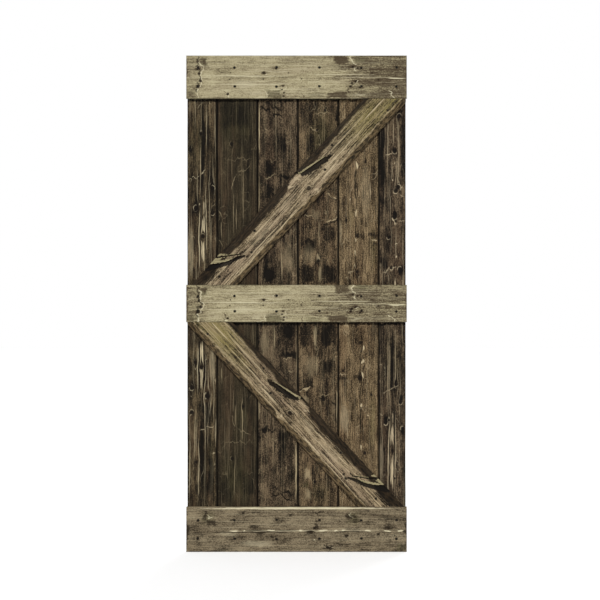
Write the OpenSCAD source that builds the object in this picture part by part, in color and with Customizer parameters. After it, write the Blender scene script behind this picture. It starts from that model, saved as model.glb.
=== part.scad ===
// Sliding barn door slab with a K brace.
// Six tongue-and-groove planks stand side by side, three rails lie across their front, and two
// braces run from corner to corner between the rails. Countersunk wood screws hold the rails and
// the braces to the planks.
// Frame: origin at the bottom centre of the door, X along its width, Y through its thickness with
// the front towards -Y, Z up. Millimetres.

/* [Door] */
// Height of the door
door_h = 2134; // [1700:1:2600]
// Width over the planks
planks_w = 940; // [770:1:1200]

/* [Planks] */
// Face width of each full plank; the two edge planks share the rest
plank_w = 174; // [120:1:210]
// Thickness of the planks
plank_t = 19; // [15:0.5:30]
// How far the seams sit right of centre
seam_shift = 6; // [-12:1:12]
// Gap between two planks at their faces
seam_gap = 1; // [0.4:0.1:2]
// Bevel along each front edge at a seam
seam_bevel = 2; // [0.5:0.1:3]
// Thickness of the tongue
tongue_t = 6; // [4:0.1:7]
// How far the tongue stands out of its plank
tongue_reach = 7; // [4:0.1:9]
// Room around the tongue in its groove
tongue_clearance = 0.2; // [0.1:0.05:0.4]

/* [Rails] */
// Thickness of the rails and braces
rail_t = 16; // [13:0.5:24]
// How far a rail runs past the planks at each side
rail_overhang = 4; // [0:0.5:20]
// Height of the top rail
top_rail_h = 185; // [120:1:240]
// Height of the middle rail
middle_rail_h = 160; // [120:1:240]
// Height of the bottom rail
bottom_rail_h = 194; // [120:1:240]
// Height of the middle rail's centre above the floor end of the door
middle_rail_z = 1068; // [900:1:1250]
// Bevel along the sawn edges
arris = 1.2; // [0.4:0.1:2]

/* [Braces] */
// Width of a brace
brace_w = 148; // [110:1:180]
// How far a centred brace's corners would keep in from the edges of the planks
brace_inset = -2; // [-10:0.5:20]
// How far the upper brace sits off centre, towards its high end
upper_brace_shift = 16; // [-20:1:20]
// How far the lower brace sits off centre, towards its high end
lower_brace_shift = 6; // [-20:1:20]
// Width of the wane along a brace's upper edge
upper_wane_w = 37; // [10:1:40]
// Depth of the wane at a brace's upper edge
upper_wane_d = 6; // [2:0.5:8]
// Width of the wane along a brace's lower edge
lower_wane_w = 24; // [8:1:30]
// Depth of the wane at a brace's lower edge
lower_wane_d = 4; // [2:0.5:8]

/* [Screws] */
// Length of a screw from its head's top to its point
screw_l = 30; // [24:0.5:30]
// Diameter over the thread
screw_d = 4.2; // [3:0.1:5]
// Diameter of the countersunk head
head_d = 8.2; // [7:0.1:10]
// How far the head is sunk below the wood's face
head_sunk = 1; // [0.2:0.1:2]
// Length of the point
point_l = 5; // [3:0.5:8]
// Width of the cross recess in the head
recess_w = 4.6; // [3:0.1:6]
// Width of one slot of the cross recess
recess_slot = 1; // [0.6:0.1:1.4]
// Depth of the cross recess
recess_depth = 2; // [1:0.1:2.5]
// Room around the shank in the rails and braces
shank_clearance = 0.15; // [0.1:0.05:0.4]
// Distance of the screw rows from the top rail's edges
top_row_inset = 52; // [25:1:60]
// Distance of the screw rows from the middle rail's edges
middle_row_inset = 47; // [25:1:60]
// Distance of the screw rows from the bottom rail's edges
bottom_row_inset = 57; // [25:1:60]
// Share by which the screw columns spread outwards from the middles of the planks
column_spread = 0.045; // [0:0.005:0.05]
// How far a hand-set screw strays from its row or column
hand_stray = 1.5; // [0:0.1:2.5]

/* [Hidden] */
$fn = 48;
full_planks = 4;
plank_count = full_planks + 2;
over = 1; // how far a cut runs past the face that it opens

door_t = plank_t + rail_t;
front_y = -door_t / 2;
plank_front_y = front_y + rail_t;
left_x = -planks_w / 2;
edge_planks_w = planks_w - full_planks * plank_w;
left_plank_w = edge_planks_w / 2 + seam_shift;

// The lower and upper edge of each rail
bottom_rail_span = [0, bottom_rail_h];
middle_rail_span = [middle_rail_z - middle_rail_h / 2, middle_rail_z + middle_rail_h / 2];
top_rail_span = [door_h - top_rail_h, door_h];

// The two panels between the rails, which the braces cross
lower_panel = [bottom_rail_span[1], middle_rail_span[0]];
upper_panel = [middle_rail_span[1], top_rail_span[0]];

// Screws in a brace: the distance along it from its low or high end, and up from its centreline
low_end_screws = [[42, 7], [213, -23], [289, 30]];
high_end_screws = [[34, -39], [306, 36], [404, -14]];

// The x of the left edge of plank i, where i = plank_count gives the door's right edge
function seam_x(i) =
    i == 0 ? left_x
    : i == plank_count ? left_x + planks_w
    : left_x + left_plank_w + (i - 1) * plank_w;

function plank_middle(i) = (seam_x(i) + seam_x(i + 1)) / 2;

// The small error of a hand-set screw, the same for the same place on every build
function stray(i, j) = hand_stray * [sin(131 * i + 67 * j), cos(97 * i + 151 * j)];

// The x and z of each screw in a rail: two rows, and a column for each plank
function rail_screws(span, inset) = [
    for (i = [0 : plank_count - 1])
        for (j = [0, 1])
            [plank_middle(i) * (1 + column_spread), j == 0 ? span[0] + inset : span[1] - inset]
                + stray(i, j)
];

// The slope of a brace that touches two opposite corners of a panel with its two edges
function brace_angle(panel) =
    let (across = planks_w - 2 * brace_inset, up = panel[1] - panel[0])
        atan2(up, across) + asin(brace_w / norm([across, up]));

// The length of a brace's centreline between the rails
function brace_length(panel) = (panel[1] - panel[0]) / sin(brace_angle(panel));

// The x and z of a point at distance s along a brace from its low end and t up from its centreline
function brace_point(panel, shift, s, t) =
    let (a = brace_angle(panel), from_middle = s - brace_length(panel) / 2)
        [shift, (panel[0] + panel[1]) / 2] + from_middle * [cos(a), sin(a)] + t * [-sin(a), cos(a)];

// The x and z of each screw in a brace that climbs to the right
function brace_screws(panel, shift) = concat(
    [for (p = low_end_screws) brace_point(panel, shift, p[0], p[1])],
    [for (p = high_end_screws) brace_point(panel, shift, brace_length(panel) - p[0], p[1])]
);

function mirrored(places) = [for (p = places) [-p[0], p[1]]];

top_rail_places = rail_screws(top_rail_span, top_row_inset);
middle_rail_places = rail_screws(middle_rail_span, middle_row_inset);
bottom_rail_places = rail_screws(bottom_rail_span, bottom_row_inset);
upper_brace_places = brace_screws(upper_panel, upper_brace_shift);
lower_brace_places = mirrored(brace_screws(lower_panel, lower_brace_shift));
all_places = concat(
    top_rail_places, middle_rail_places, bottom_rail_places,
    upper_brace_places, lower_brace_places
);

// Children are turned so that their +Z points into the door, and put on the front at each place
module at_places(places) {
    for (p = places)
        translate([p[0], front_y, p[1]]) rotate([-90, 0, 0]) children();
}

// The solid outline of a screw, from the top of its head at z = 0 down into the wood.
// room widens the shank only, because the head always seats on the wood.
module screw_body(room) {
    head_h = (head_d - screw_d) / 2;
    shank_r = screw_d / 2 + room;
    cylinder(h = head_h, r1 = head_d / 2, r2 = screw_d / 2);
    translate([0, 0, head_h - room]) cylinder(h = screw_l - point_l - head_h + room, r = shank_r);
    translate([0, 0, screw_l - point_l]) cylinder(h = point_l, r1 = shank_r, r2 = 0);
}

module cross_recess() {
    intersection() {
        union() {
            for (turn = [0, 90])
                rotate([0, 0, turn])
                    translate([-recess_w / 2, -recess_slot / 2, -over])
                        cube([recess_w, recess_slot, recess_depth + over]);
        }
        translate([0, 0, -over])
            cylinder(h = recess_depth + over, r1 = recess_w, r2 = recess_slot / 2);
    }
}

module screw() {
    translate([0, 0, head_sunk])
        difference() {
            screw_body(0);
            cross_recess();
        }
}

// What is bored out of the wood for one screw
module screw_hole(room) {
    translate([0, 0, head_sunk]) screw_body(room);
    translate([0, 0, -over]) cylinder(h = head_sunk + over, r = head_d / 2);
}

module screws(places) {
    color([0.07, 0.06, 0.05]) at_places(places) screw();
}

// Section of a plank in X and Y, with its front face at y = 0
module plank_section(x0, x1, grooved, tongued) {
    mid_y = plank_t / 2;
    left_bevel = grooved ? seam_bevel : arris;
    right_bevel = tongued ? seam_bevel : arris;
    difference() {
        polygon([
            [x0 + left_bevel, 0], [x1 - right_bevel, 0], [x1, right_bevel], [x1, plank_t - arris],
            [x1 - arris, plank_t], [x0 + arris, plank_t], [x0, plank_t - arris], [x0, left_bevel],
        ]);
        if (grooved)
            translate([x0 - over, mid_y - tongue_t / 2 - tongue_clearance])
                square([
                    over + tongue_reach - seam_gap + tongue_clearance,
                    tongue_t + 2 * tongue_clearance,
                ]);
    }
    if (tongued)
        translate([x1 - over, mid_y - tongue_t / 2]) square([over + tongue_reach, tongue_t]);
}

module plank(i, shade) {
    grooved = i > 0;
    tongued = i < plank_count - 1;
    x0 = seam_x(i) + (grooved ? seam_gap / 2 : 0);
    x1 = seam_x(i + 1) - (tongued ? seam_gap / 2 : 0);
    color(shade)
        difference() {
            translate([0, plank_front_y, 0])
                linear_extrude(door_h) plank_section(x0, x1, grooved, tongued);
            at_places(all_places) screw_hole(0);
        }
}

module rail(span, places) {
    h = span[1] - span[0];
    length = planks_w + 2 * rail_overhang;
    color([0.60, 0.56, 0.42])
        difference() {
            translate([-length / 2, front_y, span[0]])
                rotate([90, 0, 90])
                    linear_extrude(length)
                        polygon([
                            [arris, 0], [rail_t, 0], [rail_t, h], [arris, h],
                            [0, h - arris], [0, arris],
                        ]);
            at_places(places) screw_hole(shank_clearance);
        }
}

// A brace that climbs to the right, with the wide wane along its upper edge
module climbing_brace(panel, shift) {
    low = -brace_w / 2;
    high = brace_w / 2;
    reach = brace_length(panel) + 2 * brace_w;
    intersection() {
        translate([shift, front_y, (panel[0] + panel[1]) / 2])
            rotate([0, -brace_angle(panel), 0])
                rotate([90, 0, 90])
                    linear_extrude(reach, center = true)
                        polygon([
                            [0, low + lower_wane_w], [lower_wane_d, low], [rail_t, low],
                            [rail_t, high], [upper_wane_d, high], [0, high - upper_wane_w],
                        ]);
        translate([left_x, front_y - over, panel[0]])
            cube([planks_w, rail_t + 2 * over, panel[1] - panel[0]]);
    }
}

module brace(panel, shift, places, falls) {
    color([0.47, 0.42, 0.32])
        difference() {
            mirror([falls ? 1 : 0, 0, 0]) climbing_brace(panel, shift);
            at_places(places) screw_hole(shank_clearance);
        }
}

plank(0, [0.20, 0.17, 0.13]);  // plank_1
plank(1, [0.18, 0.16, 0.12]);  // plank_2
plank(2, [0.22, 0.19, 0.16]);  // plank_3
plank(3, [0.24, 0.20, 0.16]);  // plank_4
plank(4, [0.32, 0.27, 0.20]);  // plank_5
plank(5, [0.22, 0.20, 0.17]);  // plank_6
rail(top_rail_span, top_rail_places);  // top_rail
rail(middle_rail_span, middle_rail_places);  // middle_rail
rail(bottom_rail_span, bottom_rail_places);  // bottom_rail
brace(upper_panel, upper_brace_shift, upper_brace_places, false);  // upper_brace
brace(lower_panel, lower_brace_shift, lower_brace_places, true);  // lower_brace
screws(top_rail_places);  // top_rail_screws
screws(middle_rail_places);  // middle_rail_screws
screws(bottom_rail_places);  // bottom_rail_screws
screws(upper_brace_places);  // upper_brace_screws
screws(lower_brace_places);  // lower_brace_screws
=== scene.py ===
"""Sliding barn door: six stained planks, three rails, two live-edge braces and their screws.

Every board carries its own place in the log as a vertex attribute: how far a point lies along the
grain, across the board and below its face. The relief of the mesh and the colour of the stain are
both woven from that attribute, so that rings, knots and cracks fall in the same places in both.
Lengths are millimetres unless a name says metres; the meshes themselves are in metres.
"""

import logging
import math
from dataclasses import dataclass, field, replace
from enum import Enum
from typing import Callable, Iterable, Sequence

import bpy
import numpy as np
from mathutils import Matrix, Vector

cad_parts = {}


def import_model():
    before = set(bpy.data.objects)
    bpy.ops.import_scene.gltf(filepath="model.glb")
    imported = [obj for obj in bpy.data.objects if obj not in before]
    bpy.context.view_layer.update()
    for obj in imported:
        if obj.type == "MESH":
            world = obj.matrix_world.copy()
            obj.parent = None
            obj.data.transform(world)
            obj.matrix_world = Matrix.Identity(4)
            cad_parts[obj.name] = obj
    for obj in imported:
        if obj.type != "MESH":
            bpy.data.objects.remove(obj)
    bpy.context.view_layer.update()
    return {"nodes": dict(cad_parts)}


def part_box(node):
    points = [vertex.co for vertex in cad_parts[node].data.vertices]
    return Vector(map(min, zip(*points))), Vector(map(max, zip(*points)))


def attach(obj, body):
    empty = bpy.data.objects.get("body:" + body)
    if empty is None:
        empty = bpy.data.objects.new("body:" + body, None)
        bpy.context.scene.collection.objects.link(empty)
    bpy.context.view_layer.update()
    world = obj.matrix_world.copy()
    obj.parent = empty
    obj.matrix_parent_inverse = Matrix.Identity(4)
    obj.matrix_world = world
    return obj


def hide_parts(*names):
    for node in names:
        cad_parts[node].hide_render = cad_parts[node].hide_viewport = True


MM = 0.001
BOARD = "board"
EDGE = "edge"
NEAR = "near_screw"
BORE_MARK = 6.0
STUDIO_BRIGHTNESS = 1.5
SOFT_EDGE = 0.25
FAR = 50.0
EDGE_FEATURES = 68.0
Colour = tuple[float, float, float, float]
Point = tuple[float, float]
Shell = tuple[np.ndarray, np.ndarray, np.ndarray, np.ndarray, list]

log = logging.getLogger("barn_door")


def stain(red: int, green: int, blue: int) -> Colour:
    """Gives the base colour that shows as this 0 to 255 display colour in the studio's light."""
    linear = [
        (c / 12.92 if c <= 0.04045 else ((c + 0.055) / 1.055) ** 2.4) / STUDIO_BRIGHTNESS
        for c in (red / 255, green / 255, blue / 255)
    ]
    return (linear[0], linear[1], linear[2], 1.0)


# --- Node trees -----------------------------------------------------------------------------------


class Wire:
    """A number on its way through a node tree. Arithmetic on it places math nodes."""

    def __init__(self, loom: "Loom", socket: bpy.types.NodeSocket) -> None:
        """Keeps the tree's loom and the socket that the number comes out of."""
        self.loom = loom
        self.socket = socket

    def __add__(self, other: "Feed") -> "Wire":
        """Adds."""
        return self.loom.math("ADD", self, other)

    def __sub__(self, other: "Feed") -> "Wire":
        """Subtracts."""
        return self.loom.math("SUBTRACT", self, other)

    def __rsub__(self, other: "Feed") -> "Wire":
        """Subtracts from the left."""
        return self.loom.math("SUBTRACT", other, self)

    def __mul__(self, other: "Feed") -> "Wire":
        """Multiplies."""
        return self.loom.math("MULTIPLY", self, other)

    def __truediv__(self, other: "Feed") -> "Wire":
        """Divides."""
        return self.loom.math("DIVIDE", self, other)

    def most(self, other: "Feed") -> "Wire":
        """Gives the larger of the two."""
        return self.loom.math("MAXIMUM", self, other)

    def clamped(self) -> "Wire":
        """Keeps the number between 0 and 1."""
        return self.loom.math("ADD", self, 0.0, clamp=True)

    def rise(self, low: "Feed", high: "Feed") -> "Wire":
        """Climbs smoothly from 0 at low to 1 at high."""
        made = self.loom.node("ShaderNodeMapRange", interpolation_type="SMOOTHSTEP")
        self.loom.feed(made.inputs["Value"], self)
        self.loom.feed(made.inputs["From Min"], low)
        self.loom.feed(made.inputs["From Max"], high)
        return Wire(self.loom, made.outputs[0])


Feed = Wire | bpy.types.NodeSocket | float | Colour


class Loom:
    """Places nodes in one shader tree or one geometry tree, and wires them together."""

    def __init__(self, tree: bpy.types.NodeTree) -> None:
        """Starts on a tree, whichever of the two kinds it is."""
        self.tree = tree
        self.shading = tree.bl_idname == "ShaderNodeTree"

    def node(self, kind: str, **settings: object) -> bpy.types.Node:
        """Places one node.

        Args:
            kind: The node's type name.
            settings: Properties to set on it.

        Returns:
            The node.
        """
        made = self.tree.nodes.new(kind)
        count = len(self.tree.nodes)
        made.location = (220 * (count // 10), -180 * (count % 10))
        for name, value in settings.items():
            setattr(made, name, value)
        return made

    def feed(self, socket: bpy.types.NodeSocket, value: Feed) -> None:
        """Wires a value into an input socket, or sets the socket to a constant."""
        if isinstance(value, Wire):
            value = value.socket
        if isinstance(value, bpy.types.NodeSocket):
            self.tree.links.new(value, socket)
        else:
            socket.default_value = value

    def math(self, operation: str, *terms: Feed, clamp: bool = False) -> Wire:
        """Places one math node on the terms."""
        made = self.node("ShaderNodeMath", operation=operation, use_clamp=clamp)
        for socket, term in zip(made.inputs, terms):
            self.feed(socket, term)
        return Wire(self, made.outputs[0])

    def root(self, value: Wire) -> Wire:
        """Gives the square root."""
        return self.math("SQRT", value)

    def length(self, across: Wire, up: Wire) -> Wire:
        """Gives the length of the vector with these two sides."""
        return self.root(across * across + up * up)

    def vector(self, x: Feed, y: Feed, z: Feed) -> bpy.types.NodeSocket:
        """Joins three numbers into a vector."""
        made = self.node("ShaderNodeCombineXYZ")
        for socket, value in zip(made.inputs, (x, y, z)):
            self.feed(socket, value)
        return made.outputs[0]

    def split(self, vector: bpy.types.NodeSocket) -> list[Wire]:
        """Splits a vector into its three numbers."""
        made = self.node("ShaderNodeSeparateXYZ")
        self.feed(made.inputs[0], vector)
        return [Wire(self, socket) for socket in made.outputs]

    def noise(
        self,
        place: Sequence[Feed],
        blobs: Sequence[float],
        seed: Wire,
        detail: float = 2.0,
        roughness: float = 0.5,
    ) -> list[Wire]:
        """Places smooth noise with blobs of a given size.

        Args:
            place: Along, across and depth.
            blobs: How long the blobs are in each of those directions.
            seed: Shifts the noise, so that two boards differ.
            detail: How many finer layers it has.
            roughness: How strong the finer layers are.

        Returns:
            Three numbers about 0.5 that don't depend on each other.
        """
        scaled = self.node("ShaderNodeVectorMath", operation="MULTIPLY_ADD")
        self.feed(scaled.inputs[0], self.vector(*place))
        scaled.inputs[1].default_value = [1 / size for size in blobs]
        self.feed(scaled.inputs[2], self.vector(seed * 7.31, seed * 3.17, seed * 5.93))
        made = self.node("ShaderNodeTexNoise", noise_dimensions="3D")
        self.feed(made.inputs["Vector"], scaled.outputs[0])
        made.inputs["Scale"].default_value = 1.0
        made.inputs["Detail"].default_value = detail
        made.inputs["Roughness"].default_value = roughness
        return self.split(made.outputs["Color"])

    def blend(self, share: Feed, first: Feed, second: Feed) -> Wire:
        """Mixes two colours by a share of the second."""
        made = self.node("ShaderNodeMix", data_type="RGBA")
        self.feed(made.inputs[0], share)
        self.feed(made.inputs[6], first)
        self.feed(made.inputs[7], second)
        return Wire(self, made.outputs[2])

    def attribute(self, name: str, vector: bool) -> bpy.types.NodeSocket:
        """Reads a vertex attribute, as a vector or as a number."""
        if self.shading:
            made = self.node("ShaderNodeAttribute", attribute_name=name)
            return made.outputs["Vector" if vector else "Fac"]
        made = self.node(
            "GeometryNodeInputNamedAttribute", data_type="FLOAT_VECTOR" if vector else "FLOAT"
        )
        made.inputs["Name"].default_value = name
        return made.outputs["Attribute"]


class Recipe:
    """A node group with named inputs and outputs, made once for each kind of tree."""

    KINDS = {float: "NodeSocketFloat", tuple: "NodeSocketColor"}

    def __init__(
        self,
        name: str,
        inputs: dict[str, float | Colour],
        outputs: dict[str, type],
        weave: Callable[[Loom, dict[str, Wire]], dict[str, Wire]],
    ) -> None:
        """Keeps what the group is made from.

        Args:
            name: The group's name.
            inputs: Each input's name and its usual value.
            outputs: Each output's name and type: float, or tuple for a colour.
            weave: Places the group's nodes between its inputs and its outputs.
        """
        self.name = name
        self.inputs = inputs
        self.outputs = outputs
        self.weave = weave
        self.made: dict[str, bpy.types.NodeTree] = {}

    def tree(self, kind: str) -> bpy.types.NodeTree:
        """Gives the group for one kind of tree, and makes it the first time."""
        if kind not in self.made:
            tree = bpy.data.node_groups.new(self.name, kind)
            self.made[kind] = tree
            for name, usual in self.inputs.items():
                socket = tree.interface.new_socket(
                    name, in_out="INPUT", socket_type=self.KINDS[type(usual)]
                )
                socket.default_value = usual
            for name, form in self.outputs.items():
                tree.interface.new_socket(name, in_out="OUTPUT", socket_type=self.KINDS[form])
            loom = Loom(tree)
            start = loom.node("NodeGroupInput")
            wires = {name: Wire(loom, start.outputs[name]) for name in self.inputs}
            results = self.weave(loom, wires)
            end = loom.node("NodeGroupOutput")
            for name in self.outputs:
                loom.feed(end.inputs[name], results[name])
        return self.made[kind]

    def place(self, loom: Loom, feeds: dict[str, Feed]) -> dict[str, Wire]:
        """Puts the group in a tree.

        Args:
            loom: The tree's loom.
            feeds: What goes into each named input.

        Returns:
            The group's outputs by name.
        """
        made = loom.node("ShaderNodeGroup" if loom.shading else "GeometryNodeGroup")
        made.node_tree = self.tree(loom.tree.bl_idname)
        for name, value in feeds.items():
            loom.feed(made.inputs[name], value)
        return {name: Wire(loom, made.outputs[name]) for name in self.outputs}


# --- The figure of the wood -----------------------------------------------------------------------


def weave_spread(loom: Loom, given: dict[str, Wire]) -> dict[str, Wire]:
    """Bends a board's own coordinates a little, so that no mark on it has a clean outline."""
    place = (given["Along"], given["Across"], given["Depth"])
    bend = loom.noise(place, (48, 20, 20), given["Seed"], 2.0)
    rough = loom.noise(place, (16, 2.4, 2.4), given["Seed"], 3.0, 0.6)
    return {
        "Bent Along": given["Along"] + (bend[0] - 0.5) * 46,
        "Bent Across": given["Across"] + (bend[1] - 0.5) * 26,
        "Rough": (rough[0] - 0.5) * 1.3,
        "Face": 1 - given["Depth"].rise(4.0, 10.0),
    }


def weave_knot(loom: Loom, given: dict[str, Wire]) -> dict[str, Wire]:
    """Adds one knot: the grain flows round it, it is darker, and one side of it may be pale."""
    along = given["Along"] - given["At Along"]
    across = given["Across"] - given["At Across"]
    radius = given["Radius"]
    around = loom.length(along / 2.6, across) / radius
    reach = loom.length(along / 1.2, across) / radius + given["Rough"] * 0.9
    push = across / (around * around).most(1.0)
    beside = ((along * given["Side Along"] + across * given["Side Across"]) / radius).rise(-0.1, 0.9)
    crescent = reach.rise(0.82, 1.05) * (1 - reach.rise(1.2, 1.55)) * beside * 0.8
    return {
        "Flow": given["Flow"] - push,
        "Knot": given["Knot"].most(1 - reach.rise(0.7, 1.05)),
        "Halo": given["Halo"].most(1 - around.rise(0.7, 2.2)),
        "Rim": given["Rim"].most(reach.rise(0.62, 0.9) * (1 - reach.rise(0.95, 1.25))),
        "Pale": given["Pale"].most(crescent * given["Glint"]),
    }


def weave_mark(loom: Loom, given: dict[str, Wire]) -> dict[str, Wire]:
    """Adds one long or round mark with ragged edges to a mask."""
    along = given["Along"] - given["At Along"]
    across = given["Across"] - given["At Across"]
    x = (along * given["Cosine"] + across * given["Sine"]) / given["Half Length"]
    y = (across * given["Cosine"] - along * given["Sine"]) / given["Half Width"]
    square = loom.math("ABSOLUTE", x).most(loom.math("ABSOLUTE", y))
    round_reach = loom.length(x, y)
    reach = round_reach + (square - round_reach) * given["Square"] + given["Rough"]
    inside = 1 - reach.rise(given["Edge"], 1.0)
    return {"Mask": given["Mask"].most(inside * given["Strength"])}


def weave_grain(loom: Loom, given: dict[str, Wire]) -> dict[str, Wire]:
    """Makes growth rings, fibres and slow changes of tone from a place in the log."""
    along, flow, depth = given["Along"], given["Flow"], given["Depth"]
    seed = given["Seed"]
    place = (along, flow, depth)
    drift = loom.noise(place, (520, 64, 64), seed, 2.0)
    ripple = loom.noise(place, (90, 12, 12), seed, 2.0)
    to_pith = given["Pith Depth"] + given["Taper"] * along + depth
    radius = loom.length(flow - given["Pith Across"], to_pith)
    phase = radius / given["Ring Width"] + (drift[0] - 0.5) * 5.0 + (ripple[0] - 0.5) * 0.9
    part = loom.math("FRACT", phase)
    ring = part.rise(0.3, 0.86) * (1 - part.rise(0.9, 1.0))
    uneven = ripple[1].rise(0.3, 0.62) * 0.55 + drift[1].rise(0.35, 0.6) * 0.45
    fibre = loom.noise(place, (46, 1.7, 1.7), seed, 2.0, 0.6)
    streak = loom.noise(place, (170, 3.4, 3.4), seed, 2.0, 0.6)
    tone = loom.noise(place, (330, 46, 46), seed, 3.0, 0.5)
    raw = (along, given["Across"], depth)
    blotch = loom.noise(raw, (58, 24, 24), seed, 3.0, 0.55)
    speck = loom.noise(raw, (5.0, 3.2, 3.2), seed, 2.0, 0.6)
    line = loom.noise(place, (380, 3.0, 3.0), seed, 1.0, 0.5)
    curl = loom.noise(raw, (95, 60, 60), seed, 2.0, 0.5)
    hair = loom.math("ABSOLUTE", curl[0] - 0.5).rise(0.002, 0.009)
    return {
        "Line": line[0].rise(0.61, 0.7),
        "Wisp": (1 - hair) * curl[1].rise(0.52, 0.62),
        "Speck": speck[0],
        "Ring": ring * uneven,
        "Fibre": fibre[0],
        "Streak": streak[0],
        "Tone": tone[0],
        "Hue": tone[1],
        "Blotch": blotch[0],
    }


def weave_relief(loom: Loom, given: dict[str, Wire]) -> dict[str, Wire]:
    """Gives how far weather has worn the face down: soft wood most, late wood and knots least."""
    soft = (1 - given["Ring"]) * given["Ring Depth"]
    worn = soft * (1 - given["Knot"] * 0.7)
    fine = (given["Fibre"].rise(0.35, 0.65) + given["Streak"].rise(0.35, 0.65)) * given["Fibre Depth"]
    open_grain = given["Crack"] * 1.6 + given["Rim"] * 0.5
    return {"Worn": worn + fine + open_grain}


def weave_stain(loom: Loom, given: dict[str, Wire]) -> dict[str, Wire]:
    """Colours the wood: a stain between deep and light, with knots, stains and pale streaks, among which
    come painted shadows, a painted highlight and painted seam shade.
    """
    ring = given["Ring"]
    shade = (
        (given["Tone"] - 0.5) * given["Tone Share"]
        + (given["Speck"] - 0.5) * given["Speck Share"]
        + (given["Blotch"] - 0.5) * given["Blotch Share"]
        + (given["Streak"] - 0.5) * given["Streak Share"]
        + (given["Fibre"] - 0.5) * given["Fibre Share"]
        + (ring - 0.3) * given["Ring Share"]
        + 0.5
    )
    shade = shade - given["Dark"] * given["Dark Share"] - given["Halo"] * 0.14
    shade = (shade + given["Pale"] * 0.22).clamped()
    body = loom.blend((shade * 2).clamped(), given["Deep"], given["Middle"])
    body = loom.blend((shade * 2 - 1).clamped(), body, given["Light"])
    tint = (shade * 1.7).clamped()
    body = loom.blend(given["Olive"] * 0.75, body, loom.blend(tint, given["Deep"], given["Olive Stain"]))
    warm = loom.blend(tint, given["Deep"], given["Warm Stain"])
    body = loom.blend(given["Hue"].rise(0.46, 0.66) * 0.4, body, warm)
    pale = given["Pale"] * (given["Fibre"].rise(0.28, 0.56) * 0.5 + 0.5)
    thin = (given["Line"] * given["Line Share"]).most(given["Wisp"] * given["Wisp Share"])
    body = loom.blend((thin * (1 - given["Dark"] * 0.7)).most(pale), body, given["Bright"])
    body = loom.blend(given["Knot"] * 0.92, body, given["Knot Stain"])
    body = loom.blend((given["Rim"] * 0.7).clamped(), body, given["Deep"])
    body = loom.blend((given["Crack"] * 0.9).clamped(), body, given["Pitch"])
    # Pooled stain, painted seam shade and painted shade in the screw holes all go to pitch.
    body = loom.blend(given["Pooled"], body, given["Pitch"])
    return {"Colour": body, "Shade": shade}


def numbers(usual: float, names: str) -> dict[str, float]:
    """Gives each of the names, which commas part, the same usual value."""
    return dict.fromkeys(names.split(", "), usual)


def floats(names: str) -> dict[str, type]:
    """Says that each of the names, which commas part, is a number."""
    return dict.fromkeys(names.split(", "), float)


SPREAD = Recipe(
    "bent board place",
    numbers(0.0, "Along, Across, Depth, Seed"),
    floats("Bent Along, Bent Across, Rough, Face"),
    weave_spread,
)
KNOT = Recipe(
    "knot",
    {
        **numbers(0.0, "Along, Across, Rough, At Along, At Across, Flow, Knot, Halo, Rim, Pale"),
        **{"Radius": 10.0, "Glint": 0.0, "Side Along": -1.0, "Side Across": 0.0},
    },
    floats("Flow, Knot, Halo, Rim, Pale"),
    weave_knot,
)
MARK = Recipe(
    "mark",
    {
        **numbers(0.0, "Along, Across, Rough, At Along, At Across, Sine, Square, Mask"),
        **numbers(10.0, "Half Length, Half Width"),
        **numbers(1.0, "Cosine, Strength"),
        "Edge": SOFT_EDGE,
    },
    {"Mask": float},
    weave_mark,
)
GRAIN = Recipe(
    "grain",
    {
        **numbers(0.0, "Along, Across, Flow, Depth, Seed, Pith Across, Taper"),
        **{"Pith Depth": 60.0, "Ring Width": 5.0},
    },
    floats("Ring, Fibre, Streak, Tone, Hue, Blotch, Line, Wisp, Speck"),
    weave_grain,
)
RELIEF = Recipe(
    "weathered relief",
    {
        **numbers(0.0, "Ring, Knot, Rim, Crack"),
        **numbers(0.5, "Fibre, Streak"),
        **{"Ring Depth": 0.3, "Fibre Depth": 0.1},
    },
    {"Worn": float},
    weave_relief,
)
STAIN = Recipe(
    "wood stain",
    {
        **numbers(0.0, "Ring, Line, Wisp, Knot, Halo, Rim, Dark, Pale, Olive, Crack, Pooled"),
        **numbers(0.5, "Fibre, Streak, Tone, Hue, Blotch, Speck"),
        **numbers(1.0, "Tone Share, Blotch Share, Streak Share, Fibre Share, Speck Share"),
        **numbers(0.5, "Ring Share, Line Share, Wisp Share, Dark Share"),
        **dict.fromkeys(("Deep", "Knot Stain", "Pitch"), stain(20, 15, 10)),
        **dict.fromkeys(("Middle", "Olive Stain", "Warm Stain"), stain(80, 70, 50)),
        **dict.fromkeys(("Light", "Bright"), stain(150, 130, 100)),
    },
    {"Colour": tuple, "Shade": float},
    weave_stain,
)


# --- Finishes -------------------------------------------------------------------------------------


@dataclass(frozen=True)
class WoodFinish:
    """A stain on weathered softwood, and how strongly the wood's figure shows through it."""

    deep: Colour
    middle: Colour
    light: Colour
    bright: Colour
    olive: Colour
    warm: Colour
    knot: Colour
    pitch: Colour
    tone_share: float = 1.3
    blotch_share: float = 1.2
    streak_share: float = 0.9
    fibre_share: float = 1.3
    ring_share: float = 0.2
    line_share: float = 0.4
    wisp_share: float = 0.34
    speck_share: float = 1.5
    dark_share: float = 0.8
    ring_depth: float = 0.3
    fibre_depth: float = 0.12
    pooled_and_shade_share: float = 1.0
    roughness: float = 0.66
    specular: float = 0.07

    def feeds(self) -> dict[str, float | Colour]:
        """Gives what the finish puts into the stain group, by the names of the group's inputs."""
        shares = ("tone", "blotch", "streak", "fibre", "ring", "line", "wisp", "speck", "dark")
        given = {f"{name.capitalize()} Share": getattr(self, f"{name}_share") for name in shares}
        bodies = ("deep", "middle", "light", "bright", "pitch")
        given.update({name.capitalize(): getattr(self, name) for name in bodies})
        stains = ("olive", "warm", "knot")
        given.update({f"{name.capitalize()} Stain": getattr(self, name) for name in stains})
        return given


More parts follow.
